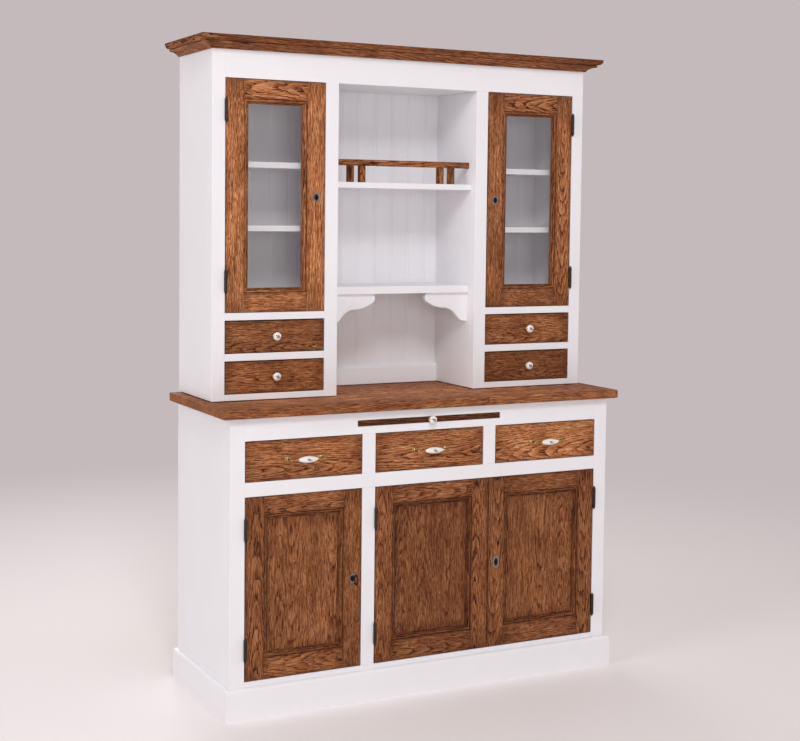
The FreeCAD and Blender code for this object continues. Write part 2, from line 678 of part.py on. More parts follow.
class Door:
    """Where a door is, and what its fittings take out of its wood. Every place is a formula."""

    def __init__(self, label, side, left, right, floor, top, front, rails, hinge_cuts, lock_cuts):
        self.label, self.side, self.front = label, side, front
        self.left, self.right, self.floor, self.top = f"({left})", f"({right})", f"({floor})", f"({top})"
        self.top_rail, self.bottom_rail = rails
        self.hinge_cuts, self.lock_cuts = hinge_cuts, lock_cuts
        self.back = f"({front} + frame_thickness)"
        self.hinge_edge, self.lock_edge = (self.left, self.right) if side == LEFT else (self.right, self.left)
        self.key_x = f"({self.lock_edge} + {side} * lock_inset)"
        self.key_z = f"(({self.floor} + {self.top}) / 2)"
        self.fittings = []
        self.stile_cuts = {LEFT: [], RIGHT: []}

    def hang(self):
        """Hinges it near its top and bottom."""
        for middle in (f"{self.floor} - door_gap + hinge_inset", f"{self.top} + door_gap - hinge_inset"):
            on_frame, on_door, frame_plate, door_plate = hinge(self.side, self.hinge_edge, middle, self.front)
            frame_leaves.append(on_frame)
            self.fittings.append(on_door)
            self.hinge_cuts.append(frame_plate)
            self.stile_cuts[self.side].append(door_plate)

    def keyhole(self, y):
        """The shape of a keyhole through everything between two places."""
        slot_x = (f"{self.key_x} - keyhole_slot_width / 2", f"{self.key_x} + keyhole_slot_width / 2")
        return [
            rod("keyhole", "keyhole_radius", f"{y[1]} - ({y[0]})", self.key_x, y[1], self.key_z,
                TOWARDS_FRONT),
            board("keyhole_slot", slot_x, y, (f"{self.key_z} - keyhole_slot_drop", self.key_z)),
        ]

    def lock(self, plate_height):
        """A lock case let into the back of the stile, its bolt, and a keyhole plate on the front."""
        outer = -self.side
        case_front = f"({self.back} - lock_case_depth)"
        case_x = beside(self.lock_edge, outer, "-lock_case_width", "0")
        case_z = (f"{self.key_z} - lock_case_below", f"{self.key_z} + lock_case_above")
        case = board("case", case_x, (case_front, self.back), case_z)
        cavity = board("cavity", (f"{case_x[0]} + lock_case_wall", f"{case_x[1]} - lock_case_wall"),
                       (f"{case_front} + lock_case_wall", f"{self.back} - lock_case_wall"),
                       (f"{case_z[0]} + lock_case_wall", f"{case_z[1]} - lock_case_wall"))
        middle_y = f"({self.back} - lock_case_depth / 2)"
        bolt_y = (f"{middle_y} - lock_bolt_thickness / 2", f"{middle_y} + lock_bolt_thickness / 2")
        bolt_z = (f"{self.key_z} + lock_bolt_rise", f"{self.key_z} + lock_bolt_rise + lock_bolt_height")
        slot_y = (f"{bolt_y[0]} - bolt_play", f"{bolt_y[1]} + bolt_play")
        slot_z = (f"{bolt_z[0]} - bolt_play", f"{bolt_z[1]} + bolt_play")
        slot = board("slot", beside(self.lock_edge, outer, "-2 * lock_case_wall", "0"), slot_y, slot_z)
        case_hole = self.keyhole((case_front, f"{case_front} + lock_case_wall"))
        self.fittings.append(cut(case, [cavity, slot] + case_hole))
        self.stile_cuts[outer].append(case)
        self.stile_cuts[outer] += self.keyhole((self.front, case_front))

        plate_y = (f"{self.front} - plate_thickness", self.front)
        plate = new_body("keyhole_plate")
        pad(plate, outline(plate, "XZ_Plane", obround("plate_width", plate_height)), "plate_thickness")
        place(plate, self.key_x, self.front, self.key_z)
        self.fittings.append(cut(plate, self.keyhole(plate_y)))

        bolt_x = beside(self.lock_edge, outer, "-(lock_bolt_rest + lock_bolt_length)", "-lock_bolt_rest")
        subpart(self.label + "_lock_bolt", board("bolt", bolt_x, bolt_y, bolt_z))
        strike_x = beside(self.lock_edge, outer, "door_gap", "door_gap + strike_depth")
        self.lock_cuts.append(board("strike", strike_x, slot_y, slot_z))

    def build(self, infill, infill_thickness):
        """Stiles, rails, moulding, and the panel or pane that they hold."""
        inner_left, inner_right = f"({self.left} + door_stile_width)", f"({self.right} - door_stile_width)"
        inner_floor, inner_top = f"({self.floor} + {self.bottom_rail})", f"({self.top} - {self.top_rail})"
        depth = (self.front, self.back)
        infill_y = (f"{self.front} + infill_setback", f"{self.front} + infill_setback + {infill_thickness}")
        groove = board("groove", (f"{inner_left} - groove_depth", f"{inner_right} + groove_depth"), infill_y,
                       (f"{inner_floor} - groove_depth", f"{inner_top} + groove_depth"))
        stiles = {LEFT: board("stile", (self.left, inner_left), depth, (self.floor, self.top)),
                  RIGHT: board("stile", (inner_right, self.right), depth, (self.floor, self.top))}
        rails = [board("rail", (inner_left, inner_right), depth, (inner_top, self.top)),
                 board("rail", (inner_left, inner_right), depth, (self.floor, inner_floor))]
        frame = [cut(stiles[side], [groove] + self.stile_cuts[side]) for side in (LEFT, RIGHT)]
        frame += [cut(rail, [groove]) for rail in rails]
        width, height = f"({inner_right} - {inner_left})", f"({inner_top} - {inner_floor})"
        frame.append(place(self.moulding(width, height), inner_left, infill_y[0], inner_floor))
        group(self.label + "_frame", frame)

        reach = "(groove_depth - groove_play)"
        panel = board("infill", (f"{inner_left} - {reach}", f"{inner_right} + {reach}"), infill_y,
                      (f"{inner_floor} - {reach}", f"{inner_top} + {reach}"))
        subpart(f"{self.label}_{infill}", panel)
        group(self.label + "_fittings", self.fittings)

    @staticmethod
    def moulding(width, height):
        """A rounded moulding all round the inside of a door's frame, in front of its panel or pane."""
        body = new_body("moulding")
        inner = rectangle("moulding_width", f"{width} - moulding_width",
                          "moulding_width", f"{height} - moulding_width")
        ring = pad(body, outline(body, "XZ_Plane", rectangle("0", width, "0", height), inner),
                   "infill_setback - moulding_sink")
        front, near_edge = -value("infill_setback - moulding_sink"), value("moulding_width / 2")
        far_edge = value(f"{width} - moulding_width / 2")

        def at_opening(edge):
            box = edge.BoundBox
            flat = box.YLength < 0.01 and abs(box.YMin - front) < 0.01
            return flat and box.XMin > near_edge and box.XMax < far_edge

        rounded(body, ring, "moulding_round", at_opening)
        return body


def flush_bolt(door):
    """A flush bolt at the top of the middle door's lock stile: its plate, its rod and the rail's hole."""
    rod_y = f"({door.back} - flush_rod_depth)"
    knob_z = f"({door.top} - flush_knob_drop)"
    plate_top = f"({door.top} - flush_plate_margin)"
    half_width = "flush_bolt_width / 2"
    groove_radius = "(flush_rod_radius + flush_rod_clearance)"
    knob_radius = "(flush_knob_radius + flush_rod_clearance)"
    plate = board("plate", (f"{door.key_x} - {half_width}", f"{door.key_x} + {half_width}"),
                  (f"{door.back} - flush_plate_thickness", door.back),
                  (f"{plate_top} - flush_bolt_length", plate_top))
    slot = board("slot", (f"{door.key_x} - {knob_radius}", f"{door.key_x} + {knob_radius}"),
                 (f"{door.back} - flush_plate_thickness", door.back),
                 (f"{knob_z} - {knob_radius}", f"{knob_z} + {knob_radius} + flush_bolt_travel"))
    groove = board("groove", (f"{door.key_x} - {groove_radius}", f"{door.key_x} + {groove_radius}"),
                   (f"{rod_y} - {groove_radius}", door.back),
                   (f"{plate_top} - flush_bolt_length + flush_plate_margin", door.top))
    door.fittings.append(cut(plate, [slot]))
    door.stile_cuts[-door.side] += [plate, groove]
    rod_floor = f"({door.top} - flush_rod_length)"
    subpart(door.label + "_flush_bolt", joined("flush_rod", [
        rod("rod", "flush_rod_radius", "flush_rod_length - bolt_play", door.key_x, rod_y, rod_floor),
        rod("grip", "flush_knob_radius", f"{door.back} + flush_knob_reach - {rod_y}", door.key_x,
            f"{door.back} + flush_knob_reach", knob_z, TOWARDS_FRONT),
    ]))
    frame_cuts["mid_rail"].append(rod("rail_hole", groove_radius, "flush_hole_depth", door.key_x, rod_y,
                                      "door_top"))


def key(door):
    """The key in the left door's lock: an upright bow, a stem with a collar, and a bit that hangs down."""
    end = f"({door.front} - key_reach)"
    bow_y = f"({end} + key_bow_width / 2)"
    bow = new_body("bow")
    pad(bow, outline(bow, "YZ_Plane", obround("key_bow_width", "key_bow_height"),
                     obround("key_bow_width - 2 * key_bow_rim", "key_bow_height - 2 * key_bow_rim")),
        "key_bow_thickness", both_ways=True)
    place(bow, door.key_x, bow_y, door.key_z)
    stem_front = f"({end} + key_bow_width - key_bow_rim / 2)"
    stem_back = f"({door.back} - lock_case_wall - bolt_play)"
    bit_back = f"({stem_back} - bolt_play)"
    collar_back = f"({door.front} - plate_thickness - key_collar_stand_off)"
    subpart("key", joined("whole_key", [
        bow,
        rod("stem", "key_stem_radius", f"{stem_back} - {stem_front}", door.key_x, stem_back, door.key_z,
            TOWARDS_FRONT),
        rod("collar", "key_collar_radius", "key_collar_length", door.key_x, collar_back, door.key_z,
            TOWARDS_FRONT),
        board("bit", (f"{door.key_x} - key_bit_thickness / 2", f"{door.key_x} + key_bit_thickness / 2"),
              (f"{bit_back} - key_bit_length", bit_back), (f"{door.key_z} - key_bit_reach", door.key_z)),
    ]))


# ---------------------------------------------------------------- drawers

def drawer(label, x, z, front, length, side_thickness, top_gap):
    """A drawer in an opening: front, two sides, back and bottom."""
    left, right = (f"({x[0]} + drawer_gap)", f"({x[1]} - drawer_gap)")
    floor, top = (f"({z[0]} + slide_gap)", f"({z[1]} - drawer_headroom)")
    behind = f"({front} + drawer_front_thickness)"
    back = f"({front} + {length})"
    inner_x = (f"{left} + {side_thickness}", f"{right} - {side_thickness}")
    bottom = f"({floor} + drawer_bottom_rise)"
    group(label, [
        board("front", (left, right), (front, behind), (f"{z[0]} + drawer_gap", f"{z[1]} - {top_gap}")),
        board("left_side", (left, inner_x[0]), (behind, back), (floor, top)),
        board("right_side", (inner_x[1], right), (behind, back), (floor, top)),
        board("back", inner_x, (f"{back} - {side_thickness}", back),
              (f"{bottom} + drawer_bottom_thickness", top)),
        board("bottom", inner_x, (behind, back), (bottom, f"{bottom} + drawer_bottom_thickness")),
    ])


# ---------------------------------------------------------------- the base

def base_case():
    """Sides, floor, drawer deck, shelves, the partition and dividers, and the back boards."""
    inside = ("base_frame_back", "base_back_front")
    between_sides = ("-base_inner", "base_inner")
    group("base_sides", [
        board("side", mirrored(side, "base_inner", "half_base"), ("base_frame_back", "back_plane"),
              ("0", "worktop_under")) for side in (LEFT, RIGHT)])
    shelf_depth = ("base_frame_back + base_shelf_setback", "base_back_front")
    shelf_z = ("base_shelf_top - shelf_thickness", "base_shelf_top")
    group("base_shelves", [
        board("floor", between_sides, inside, ("door_floor - shelf_thickness", "door_floor")),
        board("drawer_deck", between_sides, inside, ("deck_under", "drawer_floor")),
        board("left_shelf", ("-base_inner", "-divider_outer"), shelf_depth, shelf_z),
        board("right_shelf", ("-divider_inner", "base_inner"), shelf_depth, shelf_z),
    ])
    dividers = [board("divider", mirrored(side, "divider_inner", "divider_outer"), inside,
                      ("drawer_floor", "drawer_top")) for side in (LEFT, RIGHT)]
    partition = board("partition", ("-divider_outer", "-divider_inner"), inside, ("door_floor", "deck_under"))
    group("base_partitions", dividers + [partition])
    back_z = ("door_floor - shelf_thickness", "worktop_under")
    group("base_back_boards", [board("back_board", span, ("base_back_front", "back_plane"), back_z)
                               for span in even_spans("-base_inner", "base_inner", "base_back_board_count")])


def base_face_frame():
    """Stiles, rails and mullions, with the pull-out's slot and the mortises for hinges and bolts."""
    depth = ("base_front", "base_frame_back")
    between = ("-base_opening_edge", "base_opening_edge")
    left_stile, right_stile = (board("stile", mirrored(side, "base_opening_edge", "half_base"), depth,
                                     ("0", "worktop_under")) for side in (LEFT, RIGHT))
    top_rail = board("top_rail", between, depth, ("drawer_top", "worktop_under"))
    slot = board("slot", ("-slot_width / 2", "slot_width / 2"), depth, ("slot_floor", "slot_top"))
    mullion = board("mullion", ("-mullion_outer", "-mullion_inner"), depth, ("door_floor", "door_top"))
    mid_rail = board("mid_rail", between, depth, ("door_top", "drawer_floor"))
    bottom_rail = board("bottom_rail", between, depth, ("door_floor - bottom_rail_height", "door_floor"))
    drawer_mullions = [board("drawer_mullion", mirrored(side, "mullion_inner", "mullion_outer"), depth,
                             ("drawer_floor", "drawer_top")) for side in (LEFT, RIGHT)]
    group("base_face_frame", [
        cut(left_stile, frame_cuts["stile_left"]),
        cut(right_stile, frame_cuts["stile_right"]),
        cut(mullion, frame_cuts["mullion"]),
        cut(mid_rail, frame_cuts["mid_rail"]),
        cut(top_rail, [slot]),
        bottom_rail,
    ] + drawer_mullions)


def worktop():
    """One slab with eased edges at the front and sides."""
    body = new_body("slab")
    half_length = "half_base + worktop_side_overhang"
    corners = rectangle(f"-({half_length})", half_length, "base_front - worktop_front_overhang", "back_plane")
    slab = pad(body, outline(body, "XY_Plane", corners), "worktop_thickness")
    back = value("back_plane")
    rounded(body, slab, "worktop_round", lambda edge: edge.BoundBox.YMin < back - 1)
    subpart("worktop", place(body, z="worktop_under"))


def drawer_guides():
    """Guides beside every drawer, and the bearers that carry and hold down the pull-out board."""
    base_y, small_y = ("base_frame_back", "base_back_front"), ("hutch_frame_back", "bead_front")
    guides = []
    for side in (LEFT, RIGHT):
        for near, far in (("mullion_inner", "divider_inner"), ("divider_outer", "mullion_outer"),
                          ("base_opening_edge", "base_inner")):
            guides.append(board("guide", mirrored(side, near, far), base_y,
                                ("drawer_floor", "drawer_floor + guide_height")))
        for near, far in (("tower_wall_outer", "tower_opening_edge"),
                          ("hutch_opening_edge", "hutch_inner")):
            for floor in ("low_drawer_floor", "high_drawer_floor"):
                guides.append(board("small_guide", mirrored(side, near, far), small_y,
                                    (floor, f"{floor} + guide_height")))
        lap = mirrored(side, "slot_width / 2 - bearer_lap", "slot_width / 2 + bearer_width")
        beyond = mirrored(side, "slot_width / 2", "slot_width / 2 + bearer_width")
        guides += [
            board("bearer", lap, base_y, ("drawer_top", "slot_floor")),
            board("bearer_side", beyond, base_y, ("slot_floor", "slot_top")),
            board("kicker", lap, base_y, ("slot_top", "worktop_under")),
        ]
    group("drawer_guides", guides)


# ---------------------------------------------------------------- the hutch

def hutch_case():
    """Sides, tower walls, top and ceiling boards, tower floors and shelves, and the pads underneath."""
    to_beads = ("hutch_frame_back", "bead_front")
    tower_spans = [mirrored(side, "tower_wall_outer", "hutch_inner") for side in (LEFT, RIGHT)]
    uprights = []
    for side in (LEFT, RIGHT):
        uprights += [
            board("side", mirrored(side, "hutch_inner", "half_hutch"), ("hutch_frame_back", "back_plane"),
                  ("hutch_floor", "total_height")),
            board("tower_wall", mirrored(side, "half_niche", "tower_wall_outer"), to_beads,
                  ("hutch_floor", "niche_top")),
        ]
    group("hutch_uprights", uprights)
    across = ("-hutch_inner", "hutch_inner")
    group("hutch_top_boards", [
        board("top", across, ("hutch_frame_back", "back_plane"),
              ("total_height - top_board_thickness", "total_height")),
        board("ceiling", across, to_beads, ("niche_top", "niche_top + top_board_thickness")),
    ])
    group("tower_floors", [board("floor", span, to_beads, (f"{top} - shelf_thickness", top))
                           for span in tower_spans
                           for top in ("low_drawer_floor", "high_drawer_floor", "tower_floor")])
    group("tower_shelves", [board("shelf", span, ("hutch_front + tower_shelf_setback", "bead_front"),
                                  (f"tower_floor + {rise} - thin_shelf_thickness", f"tower_floor + {rise}"))
                            for span in tower_spans
                            for rise in ("low_tower_shelf_rise", "high_tower_shelf_rise")])
    pad_depths = [("hutch_frame_back + pad_setback", "hutch_frame_back + pad_setback + pad_length"),
                  ("bead_front - pad_length", "bead_front")]
    pad_widths = [mirrored(side, near, far) for side in (LEFT, RIGHT)
                  for near, far in (("hutch_inner", "half_hutch"), ("half_niche", "tower_wall_outer"))]
    group("hutch_pads", [board("pad", width, depth, ("worktop_height", "hutch_floor"))
                         for width in pad_widths for depth in pad_depths])


def hutch_back():
    """Upright boards, each with a bead between two grooves at its left edge, and the rail at their foot."""
    z = ("hutch_floor", "total_height - top_board_thickness")
    first_edge, last_edge = "-hutch_inner + first_bead_board_width", "hutch_inner - last_bead_board_width"
    spans = [("-hutch_inner", first_edge)]
    spans += even_spans(first_edge, last_edge, "bead_board_count - 2")
    spans.append((last_edge, "hutch_inner"))
    boards = []
    for span in spans:
        grooves = [board("bead_groove", (f"{span[0]} + {near}", f"{span[0]} + {near} + bead_groove_width"),
                         ("bead_front", "bead_front + bead_groove_depth"), z)
                   for near in ("0", "bead_groove_width + bead_width")]
        boards.append(cut(board("bead_board", span, ("bead_front", "bead_back"), z), grooves))
    group("hutch_back_boards", boards)

    rail = new_body("back_rail")
    pad(rail, outline(rail, "YZ_Plane", [
        ("-back_rail_thickness", "0"),
        ("0", "0"),
        ("0", "back_rail_height"),
        ("-back_rail_thickness + back_rail_bevel", "back_rail_height"),
        ("-back_rail_thickness", "back_rail_height - back_rail_bevel"),
    ]), "niche_width", both_ways=True)
    subpart("back_rail", place(rail, y="bead_front", z="hutch_floor"))


def hutch_face_frame():
    """Stiles, the frieze and the towers' rails, with the mortises for hinges and bolts."""
    depth = ("hutch_front", "hutch_frame_back")
    between_stiles = ("-hutch_opening_edge", "hutch_opening_edge")
    pieces = [board("frieze", between_stiles, depth, ("niche_top", "total_height"))]
    for side, outer, inner in ((LEFT, "hutch_left", "tower_left"), (RIGHT, "hutch_right", "tower_right")):
        outer_stile = board("outer_stile", mirrored(side, "hutch_opening_edge", "half_hutch"), depth,
                            ("hutch_floor", "total_height"))
        inner_stile = board("inner_stile", mirrored(side, "half_niche", "tower_opening_edge"), depth,
                            ("hutch_floor", "niche_top"))
        pieces += [cut(outer_stile, frame_cuts[outer]), cut(inner_stile, frame_cuts[inner])]
        opening = mirrored(side, "tower_opening_edge", "hutch_opening_edge")
        for rail_z in (("hutch_floor", "low_drawer_floor"), ("low_drawer_top", "high_drawer_floor"),
                       ("high_drawer_top", "tower_floor")):
            pieces.append(board("tower_rail", opening, depth, rail_z))
    group("hutch_face_frame", pieces)


def niche_shelves():
    """The plate shelf with its rail, and the shelf on scrolled brackets under it."""
    width = ("-half_niche", "half_niche")
    subpart("plate_shelf", board("shelf", width, ("plate_shelf_front", "bead_front"),
                                 ("plate_shelf_top - thin_shelf_thickness", "plate_shelf_top")))
    subpart("niche_shelf", board("shelf", width, ("niche_shelf_front", "bead_front"),
                                 ("niche_shelf_under", "niche_shelf_top")))
    rail_top = "plate_shelf_top + plate_rail_top"
    post_front = "plate_shelf_front + plate_rail_setback"
    rail_front = f"{post_front} + (rail_post_size - plate_rail_thickness) / 2"
    rail = board("rail", width, (rail_front, f"{rail_front} + plate_rail_thickness"),
                 (f"{rail_top} - plate_rail_height", rail_top))
    posts = []
    for side in (LEFT, RIGHT):
        for step in (LEFT, RIGHT):
            middle = f"({side} * rail_post_place + {step} * rail_post_pair / 2)"
            posts.append(board("post", (f"{middle} - rail_post_size / 2", f"{middle} + rail_post_size / 2"),
                               (post_front, f"{post_front} + rail_post_size"),
                               ("plate_shelf_top", f"{rail_top} - plate_rail_height")))
    group("plate_rail", [rail] + posts)

    brackets = []
    for side, profile in ((LEFT, flipped(BRACKET_PROFILE)), (RIGHT, BRACKET_PROFILE)):
        body = new_body("bracket")
        pad(body, outline(body, "XZ_Plane", profile), "bracket_thickness")
        brackets.append(place(body, f"{side} * half_niche",
                              "niche_shelf_front + bracket_setback + bracket_thickness", "niche_shelf_under"))
    group("shelf_brackets", brackets)


def joining_brackets():
    """Steel angles that hold the hutch to the worktop, behind its back boards."""
    angles = []
    for side in (LEFT, RIGHT):
        x = mirrored(side, "joining_bracket_place - joining_bracket_width / 2",
                     "joining_bracket_place + joining_bracket_width / 2")
        angles.append(joined("angle", [
            board("upright", x, ("bead_back", "bead_back + joining_bracket_thickness"),
                  ("worktop_height", "worktop_height + joining_bracket_height")),
            board("foot", x, ("bead_back", "bead_back + joining_bracket_depth"),
                  ("worktop_height", "worktop_height + joining_bracket_thickness")),
        ]))
    group("joining_brackets", angles)


# ---------------------------------------------------------------- the whole cupboard

TOWARDS_FRONT = FreeCAD.Vector(0, -1, 0)
FACING = FreeCAD.Rotation(FreeCAD.Vector(0, 0, 1), TOWARDS_FRONT)

fill_sheet("Sizes", SIZES)
fill_sheet("Places", PLACES)

in_base = ("door_floor + door_gap", "door_top - door_gap", "base_front",
           ("base_door_top_rail", "base_door_bottom_rail"))
in_hutch = ("tower_floor + door_gap", "niche_top - door_gap", "hutch_front",
            ("glass_door_rail", "glass_door_rail"))
left_door = Door("left_door", LEFT, "-base_opening_edge + door_gap", "-mullion_outer - door_gap", *in_base,
                 frame_cuts["stile_left"], frame_cuts["mullion"])
middle_door = Door("middle_door", LEFT, "-mullion_inner + door_gap", "mullion_centre - door_gap / 2",
                   *in_base, frame_cuts["mullion"], None)
right_door = Door("right_door", RIGHT, "mullion_centre + door_gap / 2", "base_opening_edge - door_gap",
                  *in_base, frame_cuts["stile_right"], middle_door.stile_cuts[RIGHT])
left_glass_door = Door("left_glass_door", LEFT, "-hutch_opening_edge + door_gap",
                       "-tower_opening_edge - door_gap", *in_hutch,
                       frame_cuts["hutch_left"], frame_cuts["tower_left"])
right_glass_door = Door("right_glass_door", RIGHT, "tower_opening_edge + door_gap",
                        "hutch_opening_edge - door_gap", *in_hutch,
                        frame_cuts["hutch_right"], frame_cuts["tower_right"])
base_doors, glass_doors = (left_door, middle_door, right_door), (left_glass_door, right_glass_door)

for door in base_doors + glass_doors:
    door.hang()
for door in (left_door,) + glass_doors:
    door.lock("plate_height")
right_door.lock("tall_plate_height")
flush_bolt(middle_door)
for door in base_doors:
    door.build("panel", "panel_thickness")
for door in glass_doors:
    door.build("pane", "glass_thickness")
key(left_door)
group("hinge_frame_leaves", frame_leaves)

base_case()
base_face_frame()
mitred_moulding("plinth", PLINTH_PROFILE, "half_base", "base_front", "plinth_thickness", "0")
worktop()
drawer_guides()
hutch_case()
hutch_back()
hutch_face_frame()
mitred_moulding("crown_moulding", CROWN_PROFILE, "half_hutch", "hutch_front", "crown_projection",
                "crown_floor")
niche_shelves()
joining_brackets()

for name, left, right in (("left", "-base_opening_edge", "-mullion_outer"),
                          ("middle", "-mullion_inner", "mullion_inner"),
                          ("right", "mullion_outer", "base_opening_edge")):
    drawer(f"{name}_drawer", (left, right), ("drawer_floor", "drawer_top"), "base_front", "drawer_length",
           "drawer_side_thickness", "drawer_gap")
    handle(f"{name}_handle", f"({left} + {right}) / 2", "base_front", "(drawer_floor + drawer_top) / 2")

for side, side_name in ((LEFT, "left"), (RIGHT, "right")):
    opening = mirrored(side, "tower_opening_edge", "hutch_opening_edge")
    for level, floor, top in (("lower", "low_drawer_floor", "low_drawer_top"),
                              ("upper", "high_drawer_floor", "high_drawer_top")):
        name = f"{side_name}_{level}"
        drawer(f"{name}_small_drawer", opening, (floor, top), "hutch_front", "small_drawer_length",
               "small_drawer_side_thickness", "small_drawer_top_gap")
        knob(f"{name}_knob", f"({opening[0]} + {opening[1]}) / 2", "hutch_front", f"({floor} + {top}) / 2")

pull_out_front = "(base_front + pull_out_setback)"
subpart("pull_out_board", board("pull_out",
                                ("-slot_width / 2 + pull_out_play", "slot_width / 2 - pull_out_play"),
                                (pull_out_front, f"{pull_out_front} + pull_out_depth"),
                                ("slot_floor + pull_out_play", "slot_top - pull_out_play")))
knob("pull_out_knob", "0", pull_out_front, "(slot_floor + slot_top) / 2")

doc.recompute()
failed = [item.Label for item in doc.Objects if {"Invalid", "Error"} & set(item.State)]
if failed:
    raise RuntimeError("these objects failed: " + ", ".join(failed))
for item in subparts:
    if item.Shape.isNull() or not item.Shape.isValid():
        raise RuntimeError(item.Label + " has no valid shape")

os.makedirs("parts", exist_ok=True)
for item in subparts:
    item.Shape.exportStep(f"parts/{item.Label}.step")
print(len(subparts), "sub-parts written")
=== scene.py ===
"""A step back cupboard: a white painted base with stained oak doors and drawers under an oak worktop, and
a shallower hutch with two glazed doors, four small drawers and a niche, finished over its CAD frame."""

import json
import math
import random

import bmesh
import bpy
from mathutils import Matrix, Vector


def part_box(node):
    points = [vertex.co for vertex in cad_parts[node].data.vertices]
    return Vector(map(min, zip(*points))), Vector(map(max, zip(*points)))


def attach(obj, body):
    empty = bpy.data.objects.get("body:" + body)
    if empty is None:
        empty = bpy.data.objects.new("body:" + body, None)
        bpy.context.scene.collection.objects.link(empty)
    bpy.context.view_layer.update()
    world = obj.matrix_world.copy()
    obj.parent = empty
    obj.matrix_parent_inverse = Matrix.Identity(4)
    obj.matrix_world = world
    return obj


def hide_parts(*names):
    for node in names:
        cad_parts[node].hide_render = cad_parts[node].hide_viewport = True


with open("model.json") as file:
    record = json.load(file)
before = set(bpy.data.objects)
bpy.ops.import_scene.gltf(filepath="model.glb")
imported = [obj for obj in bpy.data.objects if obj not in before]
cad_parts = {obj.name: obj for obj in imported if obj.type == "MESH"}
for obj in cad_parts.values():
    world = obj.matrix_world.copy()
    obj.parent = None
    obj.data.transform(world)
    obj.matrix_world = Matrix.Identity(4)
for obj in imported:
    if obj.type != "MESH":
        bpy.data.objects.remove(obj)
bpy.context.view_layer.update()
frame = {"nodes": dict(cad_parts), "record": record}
body_of = {node: body for body, nodes in frame["record"]["behaviour"]["bodies"].items() for node in nodes}

MM = 0.001
X, Y, Z = 0, 1, 2

BASE_DOORS = ("left_door", "middle_door", "right_door")
GLASS_DOORS = ("left_glass_door", "right_glass_door")
DRAWERS = ("left_drawer", "middle_drawer", "right_drawer")
SMALL_DRAWERS = ("left_lower_small_drawer", "left_upper_small_drawer",
                 "right_lower_small_drawer", "right_upper_small_drawer")
HANDLES = ("left_handle", "middle_handle", "right_handle")
KNOBS = ("left_lower_knob", "left_upper_knob", "right_lower_knob", "right_upper_knob", "pull_out_knob")


# ---------------------------------------------------------------- finishes

def linear(colour):
    """The linear numbers of an sRGB hex colour."""
    parts = [int(colour[place:place + 2], 16) / 255 for place in (1, 3, 5)]
    return [part / 12.92 if part <= 0.04045 else ((part + 0.055) / 1.055) ** 2.4 for part in parts] + [1.0]


def add(tree, kind, inputs, **settings):
    """Adds a node with its settings, and feeds its inputs. A kind may also be a node that is there already.

    Inputs go by name or number, among those in use. Each is a value, a socket, or a node whose first
    output in use is meant.
    """
    node = tree.nodes.new(f"ShaderNode{kind}") if isinstance(kind, str) else kind
    for name, setting in settings.items():
        setattr(node, name, setting)
    sockets = [socket for socket in node.inputs if socket.enabled]
    for name, value in inputs.items():
        socket = sockets[name] if isinstance(name, int) else next(one for one in sockets if one.name == name)
        if isinstance(value, bpy.types.Node):
            value = next(output for output in value.outputs if output.enabled)
        if isinstance(value, bpy.types.NodeSocket):
            tree.links.new(value, socket)
        else:
            socket.default_value = value
    return node


def material(name):
    """A material with an empty principled shader, as the material, its nodes and the shader."""
    made = bpy.data.materials.new(name)
    made.use_nodes = True
    return made, made.node_tree, made.node_tree.nodes["Principled BSDF"]


def lumps(*sizes):
    """How often a pattern repeats in a metre, for lumps of these sizes in millimetres."""
    return [1 / (size * MM) for size in sizes]


